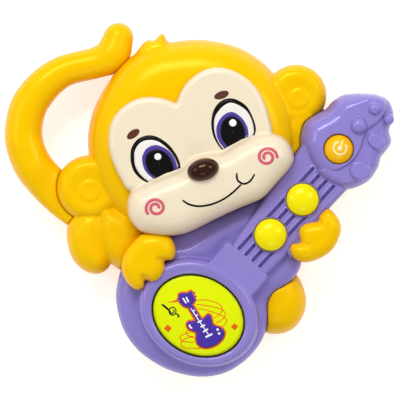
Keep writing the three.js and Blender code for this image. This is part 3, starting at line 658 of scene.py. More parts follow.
# ------------------------------------------------------------------ turned, coiled and printed pieces


def lathe(profile, segments=72):
    """A closed solid turned about Z. The profile starts and ends on the axis, or closes on itself."""
    profile = np.array(profile, float)
    angle = np.linspace(0, 2 * math.pi, segments, endpoint=False)
    points = np.stack(
        [
            profile[:, 0, None] * np.cos(angle),
            profile[:, 0, None] * np.sin(angle),
            np.repeat(profile[:, 1, None], segments, 1),
        ],
        2,
    ).reshape(-1, 3)
    faces = []
    rows = len(profile)
    closed = profile[0, 0] > 1e-6
    for i in range(rows if closed else rows - 1):
        j = (i + 1) % rows
        for k in range(segments):
            m = (k + 1) % segments
            quad = [i * segments + k, i * segments + m, j * segments + m, j * segments + k]
            if profile[i, 0] < 1e-6:
                quad = [i * segments, j * segments + m, j * segments + k]
            elif profile[j, 0] < 1e-6:
                quad = [i * segments + k, i * segments + m, j * segments]
            faces.append(quad)
    return points, faces


def arc(centre, radius, start, end, count=7):
    angle = np.linspace(math.radians(start), math.radians(end), count)
    return [(centre[0] + radius * math.cos(a), centre[1] + radius * math.sin(a)) for a in angle]


def clean(piece, smooth_angle=35):
    """Welds doubled points, drops unused ones, turns faces outwards and keeps hard edges sharp."""
    mesh = bmesh.new()
    mesh.from_mesh(piece.data)
    bmesh.ops.remove_doubles(mesh, verts=mesh.verts, dist=1e-7)
    loose = [v for v in mesh.verts if not v.link_faces]
    bmesh.ops.delete(mesh, geom=loose, context="VERTS")
    bmesh.ops.recalc_face_normals(mesh, faces=mesh.faces)
    if smooth_angle:
        for edge in mesh.edges:
            edge.smooth = len(edge.link_faces) == 2 and edge.calc_face_angle(0) < math.radians(smooth_angle)
    mesh.to_mesh(piece.data)
    mesh.free()
    return piece


def turned(name, place, profile, segments=72):
    points, faces = lathe(profile, segments)
    return clean(mesh_object(name, points + np.array([place[0], place[1], 0]), faces))


def coil(name, place, axis, radii, length, turns, wire, sides=10, per_turn=28):
    """A coil spring with flat end turns: place is its first end's centre, radii its two end radii."""
    count = int(turns * per_turn)
    t = np.linspace(0, 1, count + 1)
    angle = 2 * math.pi * turns * t
    closed = 0.75 / turns
    rises = [0, wire * 0.4, length - wire * 1.4, length - wire]
    rise = np.interp(t, [0, closed, 1 - closed, 1], rises)
    radius = np.interp(t, [0, 1], radii)
    axis = Vector(axis)
    side = axis.orthogonal().normalized()
    other = axis.cross(side)
    frame_axes = np.array([side, other, axis])
    centre = np.stack([radius * np.cos(angle), radius * np.sin(angle), rise + wire / 2], 1)
    outward = np.stack([np.cos(angle), np.sin(angle), 0 * angle], 1)
    ring = np.linspace(0, 2 * math.pi, sides, endpoint=False)
    up = np.array([0, 0, 1.0])
    points = centre[:, None] + wire / 2 * (
        outward[:, None] * np.cos(ring)[None, :, None] + up * np.sin(ring)[None, :, None]
    )
    points = points.reshape(-1, 3) @ frame_axes + np.array(place)
    faces = []
    for i in range(count):
        for k in range(sides):
            m = (k + 1) % sides
            faces.append([i * sides + k, i * sides + m, (i + 1) * sides + m, (i + 1) * sides + k])
    faces.append(list(range(sides))[::-1])
    faces.append([count * sides + k for k in range(sides)])
    return clean(mesh_object(name, points, faces))


def drop(field, x, y, high=56.0, low=30.0):
    """Height of a field's uppermost surface over each point, by marching down and bisecting."""
    top = np.full(x.shape, high)
    bottom = np.full(x.shape, low)
    found = np.zeros(x.shape, bool)
    for z in np.arange(high, low, -0.8):
        hit = (~found) & (field(x, y, np.full(x.shape, z)) < 0)
        bottom[hit] = z
        top[hit] = z + 0.8
        found |= hit
    for _ in range(14):
        half = (top + bottom) / 2
        inside = field(x, y, half) < 0
        bottom = np.where(inside, half, bottom)
        top = np.where(inside, top, half)
    return (top + bottom) / 2


def printed(name, field, sheet, closed_rows, thick, sink=0.12):
    """A thin printed layer that lies on a surface. sheet is a grid of x, y points, rows by columns."""
    rows, columns, _ = sheet.shape
    x, y = sheet[..., 0].ravel(), sheet[..., 1].ravel()
    z = drop(field, x, y)
    upper = np.stack([x, y, z + thick], 1)
    lower = np.stack([x, y, z - sink], 1)
    n = rows * columns
    faces = []
    for i in range(rows - 1):
        for k in range(columns if closed_rows else columns - 1):
            m = (k + 1) % columns
            a, b = i * columns + k, i * columns + m
            c, d = b + columns, a + columns
            faces.append([a, b, c, d])
            faces.append([n + d, n + c, n + b, n + a])
    edge = []
    if closed_rows:
        edge = [[k, (k + 1) % columns] for k in range(columns)]
        last = (rows - 1) * columns
        edge += [[last + (k + 1) % columns, last + k] for k in range(columns)]
    else:
        edge += [[k, k + 1] for k in range(columns - 1)]
        last = (rows - 1) * columns
        edge += [[last + k + 1, last + k] for k in range(columns - 1)]
        edge += [[(i + 1) * columns, i * columns] for i in range(rows - 1)]
        edge += [[i * columns + columns - 1, (i + 1) * columns + columns - 1] for i in range(rows - 1)]
    faces += [[b, a, n + a, n + b] for a, b in edge]
    return clean(mesh_object(name, np.vstack([upper, lower]), faces), None)


def filled(outline, centre, rings=7):
    """A grid that fills a star-shaped outline from its middle."""
    outline = np.array(outline, float)
    centre = np.array(centre, float)
    share = np.linspace(0.02, 1, rings)
    return centre + share[:, None, None] * (outline - centre)[None]


def band(outer, inner, rings=3):
    """A grid between two loops of the same number of points."""
    share = np.linspace(0, 1, rings)[:, None, None]
    return np.array(inner)[None] * (1 - share) + np.array(outer)[None] * share


def stroke(line, width, per_span=10):
    """A grid along an open line. width is one number, or a third column in the line's points."""
    points = np.array(line, float)
    if points.shape[1] == 2:
        points = np.column_stack([points, np.full(len(points), width)])
    points = spline(points, False, per_span)
    ahead = np.gradient(points[:, :2], axis=0)
    ahead /= np.linalg.norm(ahead, axis=1)[:, None]
    side = np.stack([-ahead[:, 1], ahead[:, 0]], 1)
    share = np.array([-0.5, -0.25, 0, 0.25, 0.5])
    half = points[:, 2]
    taper = np.ones(len(points))
    taper[0] = taper[-1] = 0.35
    taper[1] = taper[-2] = 0.85
    return points[:, None, :2] + (share[None, :, None] * (half * taper)[:, None, None]) * side[:, None, :]


def oval(x, y, across, along, turn, count=48):
    return ellipse_polygon({"x": x, "y": y, "across": across, "along": along, "turn": turn}, 0, count)


# ------------------------------------------------------------------ materials


def linear(red, green, blue):
    """A colour as a painter names it, 0 to 255, in the renderer's linear numbers."""
    parts = [c / 255 for c in (red, green, blue)]
    return tuple(c / 12.92 if c <= 0.04045 else ((c + 0.055) / 1.055) ** 2.4 for c in parts) + (1.0,)


class Recipe:
    """Short hands for building a node material around one Principled shader."""

    def __init__(self, name):
        self.material = bpy.data.materials.new(name)
        self.material.use_nodes = True
        self.tree = self.material.node_tree
        self.shader = self.tree.nodes["Principled BSDF"]
        self.coords = self.tree.nodes.new("ShaderNodeTexCoord")

    def put(self, kind, **inputs):
        node = self.tree.nodes.new(kind)
        for key, value in inputs.items():
            self.feed(node.inputs[key.replace("_", " ")], value)
        return node

    def feed(self, socket, value):
        if isinstance(value, bpy.types.NodeSocket):
            self.tree.links.new(value, socket)
        else:
            socket.default_value = value

    def noise(self, scale, detail=2.0, stretch=None):
        place = self.coords.outputs["Object"]
        if stretch:
            mapping = self.put("ShaderNodeMapping", Vector=place)
            mapping.inputs["Scale"].default_value = stretch
            place = mapping.outputs["Vector"]
        return self.put("ShaderNodeTexNoise", Vector=place, Scale=scale, Detail=detail).outputs["Fac"]

    def spread(self, value, low, high, start=0.3, stop=0.7, smooth=False):
        node = self.tree.nodes.new("ShaderNodeMapRange")
        node.interpolation_type = "SMOOTHSTEP" if smooth else "LINEAR"
        self.feed(node.inputs["Value"], value)
        for key, number in (("From Min", start), ("From Max", stop), ("To Min", low), ("To Max", high)):
            node.inputs[key].default_value = number
        return node.outputs["Result"]

    def mix(self, share, a, b):
        node = self.tree.nodes.new("ShaderNodeMix")
        node.data_type = "RGBA"
        self.feed(node.inputs[0], share)
        self.feed(node.inputs[6], a)
        self.feed(node.inputs[7], b)
        return node.outputs[2]

    def facing(self):
        """How far a surface faces out of the front, 0 to 1; it sets where the painted side colour goes."""
        normal = self.put("ShaderNodeSeparateXYZ", Vector=self.coords.outputs["Normal"]).outputs["Z"]
        return self.spread(normal, 0.0, 1.0, 0.0, 0.85, True)

    def bump(self, height, strength, distance):
        node = self.put("ShaderNodeBump", Strength=strength, Distance=distance, Height=height)
        self.feed(self.shader.inputs["Normal"], node.outputs["Normal"])

    def set(self, **inputs):
        for key, value in inputs.items():
            self.feed(self.shader.inputs[key.replace("_", " ")], value)
        return self.material


def moulded(name, colour, painted_side_colour, rough=0.2, mottle=0.04, coat=0.35, specular=0.5, sheen=(255, 255, 255)):
    """Injection-moulded plastic: a painted side colour where the surface turns away from the front (painted
    shade, on the nose a painted reddish rim light), faint flow marks, fine texture.
    """
    r = Recipe(name)
    flow = r.noise(38, 3.0)
    fine = r.noise(2600, 2.0)
    # Painted shade: the colour turns to the painted side colour as the surface turns away from the front.
    base = r.mix(r.facing(), linear(*painted_side_colour), linear(*colour))
    shade = linear(*[c * (1 - mottle) for c in colour])
    base = r.mix(r.spread(flow, 0.0, 0.5), base, shade)
    r.bump(fine, 0.05, 0.00006)
    r.set(Base_Color=base, Roughness=r.spread(flow, rough - 0.035, rough + 0.05))
    r.set(Coat_Weight=coat, Coat_Roughness=0.08, Specular_IOR_Level=specular)
    r.set(Specular_Tint=linear(*sheen))
    return r.material


def ink(name, colour, rough=0.3):
    """Printed ink: slightly uneven cover under the gloss."""
    r = Recipe(name)
    grain = r.noise(1500, 2.0)
    darker = linear(*[c * 0.86 for c in colour])
    base = r.mix(r.spread(grain, 0.0, 0.12, 0.4, 0.75), linear(*colour), darker)
    r.bump(grain, 0.02, 0.00002)
    r.set(Base_Color=base, Roughness=r.spread(grain, rough - 0.02, rough + 0.03))
    return r.set(Specular_IOR_Level=0.14)


def metal(name, colour, rough, brushed=None, dull=0.35):
    r = Recipe(name)
    grain = r.noise(1400, 3.0, brushed or (1, 1, 1))
    tarnish = r.noise(160, 3.0)
    darker = linear(*[c * (1 - dull) for c in colour])
    base = r.mix(r.spread(tarnish, 0.0, 0.7), linear(*colour), darker)
    r.bump(grain, 0.12, 0.00005)
    return r.set(Base_Color=base, Metallic=1.0, Roughness=r.spread(grain, rough, rough + 0.18))


def matte(name, colour, other, rough, scale=700, bump=0.15):
    r = Recipe(name)
    grain = r.noise(scale, 4.0)
    base = r.mix(r.spread(grain, 0.0, 1.0), linear(*colour), linear(*other))
    r.bump(grain, bump, 0.00008)
    return r.set(Base_Color=base, Roughness=r.spread(grain, rough - 0.08, rough + 0.1))


# The second colour of each moulded plastic is painted light: painted shade on the sides, and on the nose a
# painted reddish rim light.
MATERIALS = {
    "yellow": moulded("yellow_plastic", (248, 196, 0), (240, 156, 0), 0.24, 0.02, 0.0, 0.5, (255, 226, 96)),
    "purple": moulded(
        "purple_plastic", (142, 129, 203), (110, 94, 174), 0.2, 0.02, 0.1, 0.6, (214, 200, 255)
    ),
    "cream": moulded(
        "cream_plastic", (238, 224, 196), (214, 184, 148), 0.24, 0.015, 0.1, 0.35, (255, 246, 225)
    ),
    "brown": moulded("nose_plastic", (40, 18, 11), (92, 34, 22), 0.14, 0.2, 0.1, 0.35, (255, 190, 160)),
    "lime": moulded("lime_plastic", (222, 238, 0), (196, 214, 0), 0.2, 0.03, 0.0, 0.5, (250, 255, 120)),
    "button": moulded(
        "note_button_plastic", (248, 232, 0), (232, 190, 0), 0.2, 0.03, 0.0, 0.5, (255, 250, 150)
    ),
    "orange": moulded("orange_plastic", (254, 190, 4), (240, 140, 8), 0.2, 0.03, 0.0, 0.5, (255, 235, 150)),
    "silicone": moulded("silicone", (214, 219, 222), (190, 196, 202), 0.5, 0.06, 0.0),
    "wire": metal("spring_wire", (196, 199, 205), 0.2, (1, 1, 6)),
    "strip": metal("contact_strip", (205, 207, 210), 0.24, (6, 1, 1), 0.25),
    "screw": metal("screw_steel", (180, 182, 186), 0.26),
    "basket": metal("speaker_steel", (164, 168, 172), 0.34, (1, 1, 4)),
    "magnet": metal("magnet_iron", (78, 78, 82), 0.45),
    "paper": matte("cone_paper", (38, 38, 41), (24, 24, 27), 0.82, 1300, 0.4),
    "board": matte("board_mask", (34, 112, 62), (28, 92, 50), 0.42, 500, 0.1),
    "epoxy": matte("chip_epoxy", (26, 26, 28), (36, 36, 38), 0.55, 1500, 0.2),
    "red_lead": matte("lead_red", (196, 34, 34), (170, 24, 26), 0.45, 600, 0.08),
    "black_lead": matte("lead_black", (32, 32, 34), (22, 22, 24), 0.45, 600, 0.08),
    "sleeve": matte("battery_sleeve", (40, 92, 170), (34, 80, 152), 0.3, 300, 0.04),
    "sleeve_band": matte("battery_band", (206, 210, 214), (190, 194, 198), 0.3, 300, 0.04),
    "ink_black": ink("ink_black", (9, 8, 8), 0.24),
    "ink_white": ink("ink_white", (250, 249, 246), 0.24),
    "ink_eye": ink("ink_eye", (238, 233, 227), 0.24),
    "ink_iris": ink("ink_iris", (78, 60, 150), 0.24),
    "ink_brow": ink("ink_brow", (92, 52, 42), 0.24),
    "ink_pink": ink("ink_pink", (214, 94, 116), 0.28),
    "ink_outline": ink("ink_outline", (36, 40, 34), 0.3),
    "ink_orange": ink("ink_orange", (238, 96, 18), 0.3),
    "ink_blue": ink("ink_blue", (72, 52, 164), 0.3),
    "ink_symbol": ink("ink_symbol", (255, 232, 176), 0.3),
    "sticker": ink("sticker_sheet", (226, 240, 0), 0.2),
}


def dress(piece, material, slot, body="root", node=None):
    """Gives a piece its material and its body, and hides the CAD piece that it stands for. slot is not used.
    """
    piece.data.materials.clear()
    piece.data.materials.append(MATERIALS[material])
    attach(piece, body)
    if node:
        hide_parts(node)
    return piece


def keep_node(node, material):
    """A CAD piece that stays as it is and gets its finish."""
    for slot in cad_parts[node].material_slots:
        slot.material = MATERIALS[material]


def shell_piece(name, field, box, step, finish, node, body="root"):
    """A field's surface as a piece. box is its lower and upper corner, finish a material and a slot."""
    points, quads = surface(field, *box, step)
    return dress(mesh_object(name, points, quads), *finish, body, node)


# ------------------------------------------------------------------ shells


def bosses(x, y, z, names, radius, low, high):
    whole = 1e3
    for name in names:
        whole = np.minimum(whole, rod(x, y, z, middle(name), radius, low, high))
    return whole


def front_field(x, y, z):
    front = both(lobes_field(x, y, z), SEAM + SEAM_GAP - z, 0.3)
    outer = cut(front, guitar_solid(x, y, z) - 0.2, 0.4)
    shell = hollow(outer, bosses(x, y, z, BACK_SCREWS[:5], 3.4, SEAM, 36))
    deck = np.maximum(deck_map(x, y), slab(z, 21, 23.2))
    return np.minimum(shell, deck)


def tail_front_field(x, y, z):
    """The tail's front half, flatter where it goes in behind the ear."""
    away = np.clip((ear_distance(x, y, LEFT_EAR) + 1) / 15, 0, 1)
    flat = 0.52 + 0.48 * away**2 * (3 - 2 * away)
    tube = both(tail_field(x, y, z, flat), SEAM + SEAM_GAP - z, 0.3)
    shell = hollow(tube, bosses(x, y, z, TAIL_SCREWS, 3.4, SEAM, 26))
    return cut(shell, lobes_field(x, y, z) - GAP, 0.3)


def back_lobes(x, y, z):
    """The outside of the rear shell, its edge rounded towards the flat back."""
    up = SEAM - z
    broad = (head_map, body_map, leg_map, foot_map, headstock_map, deck_map)
    fields = [raised(outline(x, y), up, SEAM, 7) for outline in broad]
    for ear in (LEFT_EAR, RIGHT_EAR):
        fields.append(raised(ear_distance(x, y, ear), up, SEAM, 7))
    for outline, across in ((right_hand_map, 3.5), (arm_map, 2.5), (neck_map, 1.5), (bridge_map, 1.5)):
        fields.append(raised(outline(x, y), up, SEAM, across))
    fields.append(np.maximum(raised(tuft_map(x, y), up, 9, 3), 9 - z))
    return union(fields, 0.9)


BOX_LOW = np.array([DOOR_LOW[0] - 0.3, -66.0, 0.0])
BOX_HIGH = np.array([DOOR_HIGH[0] + 0.3, -9.0, 18.6])
DOOR_SCREW = middle("battery_door_screw")


def lug_field(x, y, z, spare, low, high):
    """The door's round lug that its screw goes through, joined to the plate."""
    distance, _ = segment_distance(x, y, DOOR_SCREW[:2], (DOOR_SCREW[0], BOX_LOW[1] + 1))
    return np.maximum(distance - 4.2 - spare, slab(z, low, high))


def grille_slots(x, y, z):
    whole = 1e3
    for i in range(-3, 4):
        half = math.sqrt(15**2 - (4 * i) ** 2)
        middle_y = SPEAKER_PLACE[1] + 4 * i
        ends = ((SPEAKER_PLACE[0] - half, middle_y), (SPEAKER_PLACE[0] + half, middle_y))
        whole = np.minimum(whole, segment_distance(x, y, *ends)[0] - 0.9)
    return whole + 0 * z


def rear_field(x, y, z):
    outer = both(back_lobes(x, y, z), z - SEAM, 0.3)
    ribs = bosses(x, y, z, BACK_SCREWS, 4.4, 0, SEAM)
    speaker = np.hypot(x - SPEAKER_PLACE[0], y - SPEAKER_PLACE[1])
    collar = np.maximum(np.abs(speaker - 22.3) - 0.9, slab(z, 1, 7))
    shell = hollow(outer, np.minimum(ribs, collar))
    walls = block_field(x, y, z, BOX_LOW - 2, BOX_HIGH + (2, 2, 1.8))
    hood = block_field(x, y, z, (-21, -9, 0), (17, -2.6, 9))
    whole = union([shell, np.maximum(walls, -z), np.maximum(hood, -z)], 0.4)
    whole = np.minimum(whole, rod(x, y, z, DOOR_SCREW, 6.4, 0, 8))
    whole = cut(whole, block_field(x, y, z, BOX_LOW - (0, 0, 5), BOX_HIGH), 0.5)
    whole = cut(whole, block_field(x, y, z, (-19, -10, 2.5), (15, -4.4, 7)), 0.4)
    whole = cut(whole, lug_field(x, y, z, 0.3, -5, 2.5), 0.4)
    whole = cut(whole, bosses(x, y, z, BACK_SCREWS, 3.1, -5, 9), 0.6)
    whole = cut(whole, bosses(x, y, z, BACK_SCREWS, 1.6, 5, 30), 0.3)
    whole = cut(whole, rod(x, y, z, DOOR_SCREW, 1.3, 2, 9), 0.3)
    return cut(whole, np.maximum(grille_slots(x, y, z), slab(z, -5, WALL + 1)), 0.5)


def tail_rear_field(x, y, z):
    tube = both(tail_field(x, y, z), z - SEAM, 0.3)
    shell = hollow(tube, bosses(x, y, z, TAIL_SCREWS, 4.4, 9, SEAM))
    shell = cut(shell, back_lobes(x, y, z) - GAP, 0.3)
    shell = cut(shell, bosses(x, y, z, TAIL_SCREWS, 3.1, -5, 14), 0.6)
    return cut(shell, bosses(x, y, z, TAIL_SCREWS, 1.6, 5, 30), 0.3)


def button_holes(x, y, z):
    notes = [np.hypot(x - p[0], y - p[1]) - 8.35 for p in NOTE_PLACES.values()]
    power = np.hypot(x - POWER_PLACE[0], y - POWER_PLACE[1]) - 7.55
    holes = np.minimum(np.minimum(notes[0], notes[1]), np.minimum(power, disc_map(x, y) - 0.35))
    return np.maximum(holes, 25 - z)


def guitar_shell_field(x, y, z):
    outer = both(guitar_solid(x, y, z), SEAM + SEAM_GAP - z, 0.3)
    shell = hollow(outer, bosses(x, y, z, BACK_SCREWS[5:], 3.2, SEAM, 40))
    return cut(shell, button_holes(x, y, z), 0.6)


def hand_field(hand, x, y, z):
    """A hand as a solid that sits on the shells under it."""
    field = both(hand(x, y, z), HAND_FLOOR - z, 0.8)
    field = cut(field, guitar_field(x, y, z) - 0.2, 0.3)
    return cut(field, lobes_field(x, y, z) - GAP, 0.3)


def left_hand_solid(x, y, z):
    return hand_field(left_hand_field, x, y, z)


def right_hand_solid(x, y, z):
    return hand_field(right_hand_field, x, y, z)


def face_plate_field(x, y, z):
    outer = both(face_field(x, y, z), FACE_FLOOR - z, 0.4)
    shell = hollow(outer, None)
    shell = cut(shell, lobes_field(x, y, z) - GAP, 0.3)
    shell = cut(shell, guitar_field(x, y, z) - 0.25, 0.3)
    return cut(shell, left_hand_field(x, y, z) - 0.2, 0.3)


def nose_field(x, y, z):
    c, s = math.cos(NOSE["turn"]), math.sin(NOSE["turn"])
    dx, dy = x - NOSE["x"], y - NOSE["y"]
    u, v = dx * c + dy * s, dy * c - dx * s
    a, b, h = NOSE["radii"]
    ball = (np.sqrt((u / a) ** 2 + (v / b) ** 2 + ((z - NOSE["z"]) / h) ** 2) - 1) * b
    return cut(ball, face_field(x, y, z) - 0.05, 0.2)


YELLOW = ("yellow", "yellow_plastic")
PURPLE = ("purple", "purple_plastic")
CREAM = ("cream", "cream_plastic")
BROWN = ("brown", "nose_plastic")
TAIL_BOX = ((-98.5, -17, 8), (-31, 90, 28))
SHELLS = [
    ("front_housing", front_field, ((-72, -85, 18), (72, 84, 36.5)), 0.8, YELLOW, "front_shell"),
    ("rear_housing", rear_field, ((-72, -90, 0), (98, 84, 20.6)), 0.8, YELLOW, "rear_shell"),
    ("tail_front", tail_front_field, TAIL_BOX, 0.8, YELLOW, "tail_handle_front"),
    ("tail_rear", tail_rear_field, TAIL_BOX, 0.8, YELLOW, "tail_handle_rear"),
    ("guitar_housing", guitar_shell_field, ((-42, -90, 18), (98, 54, 46)), 0.5, PURPLE, "guitar_shell"),
    ("face_housing", face_plate_field, ((-46, -20, 26), (49, 67, 50)), 0.6, CREAM, "face_plate"),
    ("hand_left", left_hand_solid, ((-40, -47, 27), (-10, -15, 44)), 0.5, YELLOW, "left_hand"),
    ("hand_right", right_hand_solid, ((44, -33, 27), (73, -3, 42)), 0.5, YELLOW, "right_hand"),
    ("nose_button", nose_field, ((-7, 8, 40), (12, 22, 55)), 0.4, BROWN, "nose"),
]


def make_shells():
    coarser = 1.0
    for name, field, box, step, finish, node in SHELLS:
        shell_piece(name, field, box, step * coarser, finish, node)


# ------------------------------------------------------------------ buttons and the parts under them


def dome_height(share, top):
    """Height of a button's dome at a share of its radius."""
    return top - DOME * share**DOME_POWER


def make_round_button(name, node, radius, flange_drop, finish):
    """A domed cap with a flange that holds it in, and a plunger that meets the silicone dome."""
    low, high = low_high(node)
    bottom, top = low[2], high[2]
    flange, wide, plunger = top - flange_drop, radius + 0.9, 3.4
    profile = [(0, bottom), (plunger, bottom), (plunger, flange - 1.5), (wide, flange - 1.5), (wide, flange)]
    profile += [(radius, flange), (radius, top - DOME - 0.5), (radius - 0.08, top - DOME - 0.2)]
    profile += [(r, dome_height(r / radius, top)) for r in np.linspace(radius - 0.25, 0, 20)]
    dress(turned(name, middle(node), profile, 96), *finish, node, node)


def make_bezel(name, place):
    """The thin rim round a note button's hole."""
    rim = [(8.25, 34.3), (8.8, 34.3), (8.95, 36.1), (8.75, 36.4), (8.45, 36.42), (8.27, 36.2)]
    dress(turned(name, place, rim, 96), *PURPLE)


def melody_top(x, y):
    """The melody button's surface: a low dome over the ellipse."""
    c, s = math.cos(DISC["turn"]), math.sin(DISC["turn"])
    dx, dy = x - DISC["x"], y - DISC["y"]
    r = np.hypot((dx * c + dy * s) / DISC["across"], (dy * c - dx * s) / DISC["along"])
    return MELODY_TOP - 1.5 * r**2.2


def melody_field(x, y, z):
    sides = np.maximum(disc_map(x, y), MELODY_FLOOR - z)
    cap = both(sides, (z - melody_top(x, y)) * 0.95, 0.9)
    flange = np.maximum(disc_map(x, y) - 1.0, slab(z, MELODY_FLOOR, MELODY_FLOOR + 1.4))
    post = rod(x, y, z, (DISC["x"], DISC["y"]), 4, MELODY_FLOOR - 1, MELODY_FLOOR + 1)
    return np.minimum(np.minimum(cap, flange), post)


def make_buttons():
    for name, place in NOTE_PLACES.items():
        finish = ("button", "note_button_plastic")
        make_round_button(f"note_cap_{name}", f"note_button_{name}", NOTE_RADIUS, NOTE_FLANGE_DROP, finish)
        make_bezel(f"note_bezel_{name}", place)
    finish = ("orange", "orange_plastic")
    make_round_button("power_cap", "power_button", POWER_RADIUS, POWER_FLANGE_DROP, finish)
    box = ((-25, -82, 31), (24, -32, 38))
    finish = ("lime", "lime_plastic")
    shell_piece("melody_cap", melody_field, box, 0.6, finish, "melody_button", "melody_button")


def squash_under(piece):
    """Gives a dome or spring its own copy of its mesh data."""
    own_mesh(piece)


def make_spring_parts():
    for name in ("note_lower", "note_upper", "power", "melody"):
        node = f"dome_{name}"
        low, high = low_high(node)
        foot, top = low[2], high[2]
        profile = [(0, foot), (5.2, foot), (5.2, foot + 0.7), (4.6, foot + 1.0)]
        profile += [(3.6, top - 0.5), (3.3, top - 0.1), (3.0, top), (0, top)]
        piece = turned(f"silicone_dome_{name}", middle(node), profile, 48)
        dress(piece, "silicone", "silicone", node=node)
        squash_under(piece)
    for i in (1, 2, 3):
        node = f"melody_spring_{i}"
        low, high = low_high(node)
        foot = (*middle(node)[:2], low[2])
        piece = coil(f"melody_coil_{i}", foot, (0, 0, 1), (2.4, 2.4), high[2] - low[2], 4, 0.5)
        dress(piece, "wire", "steel_wire", node=node)
        squash_under(piece)


def cell_profile(radius, length, band):
    """Half a cell's section, from its flat end to its button end."""
    can = length - 1.4
    profile = [(0, 0), (radius - 1.6, 0), (radius - 1.3, 0.25), *arc((radius - 0.6, 0.9), 0.6, -90, 0, 5)]
    profile += [(radius, band), (radius, can - 0.9), *arc((radius - 0.7, can - 0.8), 0.7, 0, 90, 5)]
    profile += [(radius - 1.6, can - 0.25), (2.9, can - 0.25), (2.7, can)]
    return profile + [*arc((2.3, length - 0.4), 0.4, 0, 90, 4), (0, length)]


def make_cell(i, turned_round):
    node = f"battery_{i}"
    low, high = low_high(node)
    x, _, z = middle(node)
    length, radius = high[1] - low[1], (high[2] - low[2]) / 2
    band = (length - 1.4) * 0.26
    points, faces = lathe(cell_profile(radius, length, band), 64)
    points = points[:, [0, 2, 1]]
    if turned_round:
        points[:, 1] = length - points[:, 1]
    piece = clean(mesh_object(f"cell_{i}", points + np.array([x, low[1], z]), faces))
    dress(piece, "sleeve", "battery_sleeve", node=node)
    piece.data.materials.append(MATERIALS["sleeve_band"])
    piece.data.materials.append(MATERIALS["strip"])
    for face in piece.data.polygons:
        along = face.center.y / MM - low[1]
        along = length - along if turned_round else along
        out = math.hypot(face.center.x / MM - x, face.center.z / MM - z)
        bare = out < radius - 1.1 or along < 0.5
        face.material_index = 2 if bare else int(along < band)


def make_batteries():
    for i in (1, 2, 3):
        turned_round = i == 2
        make_cell(i, turned_round)
        node = f"battery_spring_{i}"
        low, high = low_high(node)
        x, _, z = middle(f"battery_{i}")
        start, way = (high[1], -1) if turned_round else (low[1], 1)
        spring = coil(f"cell_coil_{i}", (x, start, z), (0, way, 0), (4.1, 2.5), high[1] - low[1], 3.5, 0.6)
        dress(spring, "wire", "steel_wire", node=node)


def screw_mesh(head_radius, head_tall, shank, length):
    """A pan-head screw with a cross recess, its head at z 0, pointing along +Z."""

    def field(x, y, z):
        r = np.hypot(x, y)
        dome = raised(r - head_radius, -z, 0, head_radius * 0.55, head_tall * 0.7)
        head = np.maximum(dome, z - head_tall)
        long, narrow = head_radius * 0.58, head_radius * 0.15
        across = np.maximum(np.abs(x) - long, np.abs(y) - narrow)
        along = np.maximum(np.abs(y) - long, np.abs(x) - narrow)
        recess = np.maximum(np.minimum(across, along), z - head_tall * 0.75 + 0.9 * r / head_radius)
        turn = np.arctan2(y, x) / (2 * math.pi)
        thread = 0.22 * (np.abs(((z - turn) % 1.0) - 0.5) * 2 - 0.5)
        body = np.maximum(r - shank - thread * (z > head_tall + 0.5), slab(z, head_tall - 0.3, length))
        tip = r - (length - z) * 0.7
        return np.minimum(cut(head, recess, 0.15), np.maximum(body, tip))

    return surface(field, (-head_radius, -head_radius, 0), (head_radius, head_radius, length), 0.28)


SCREW_COUNTS = {"tail_screw": 2, "housing_screw": 7, "face_screw": 3, "guitar_screw": 2, "board_screw": 2}


def place_screw(node, shape, body="root"):
    """A copy of a screw's points and faces, with its head at the foot of the CAD screw."""
    x, y, _ = middle(node)
    offset = np.array([x, y, low_high(node)[0][2]])
    piece = mesh_object(f"{node}_cross", shape[0] + offset, shape[1])
    dress(piece, "screw", "screw_steel", body, node)


def make_screws():
    for kind, count in SCREW_COUNTS.items():
        low, high = low_high(f"{kind}_1")
        head = (high[0] - low[0]) / 2
        shape = screw_mesh(head, 1.6, head * 0.42, high[2] - low[2])
        for i in range(count):
            place_screw(f"{kind}_{i + 1}", shape)
    low, high = low_high("battery_door_screw")
    shape = screw_mesh((high[0] - low[0]) / 2, 1.1, 0.9, high[2] - low[2])
    place_screw("battery_door_screw", shape, "battery_door_screw")


def door_field(x, y, z):
    """The battery door: a plate with two tabs, a screw lug, ribs, finger grips and an arrow."""
    low = (DOOR_LOW[0], BOX_LOW[1] + 0.3, -2)
    high = (DOOR_HIGH[0], BOX_HIGH[1] - 0.3, 2.2)
    plate = both(block_field(x, y, z, low, high), -z, 0.5)
    tabs = 1e3
    for tab_x in (-12, 8):
        left, right, back = tab_x - 3, tab_x + 3, BOX_HIGH[1] - 1.8
        rise = block_field(x, y, z, (left, back, 1.5), (right, BOX_HIGH[1] - 0.3, 4.4))
        tongue = block_field(x, y, z, (left, back, 3), (right, DOOR_HIGH[1], 4.4))
        tabs = np.minimum(tabs, np.minimum(rise, tongue))
    whole = union([plate, tabs, both(lug_field(x, y, z, 0, -2, 2.2), -z, 0.5)], 0.4)
    for i in range(-2, 3):
        grip_x = 3.5 * i - 2
        grip = segment_distance(x, y, (grip_x, -21), (grip_x, -27))[0]
        whole = cut(whole, np.maximum(grip - 0.8, z - 0.6), 0.4)
    tip = (-2, -38)
    arrow = np.minimum(segment_distance(x, y, tip, (-6, -33))[0], segment_distance(x, y, tip, (2, -33))[0])
    whole = cut(whole, np.maximum(arrow - 0.7, z - 0.5), 0.4)
    for i in range(4):
        line = np.abs(y - (-16 - 12 * i)) - 0.6
        rib = np.maximum(np.maximum(line, np.abs(x - middle("battery_door")[0]) - 20), slab(z, 2, 3.1))
        whole = np.minimum(whole, rib)
    whole = cut(whole, rod(x, y, z, DOOR_SCREW, 1.4, -1, 4), 0.2)
    return cut(whole, rod(x, y, z, DOOR_SCREW, 2.9, -1, 1.5), 0.3)


def make_door():
    box = (DOOR_LOW, DOOR_HIGH)
    shell_piece("battery_cover", door_field, box, 0.5, YELLOW, "battery_door", "battery_door")


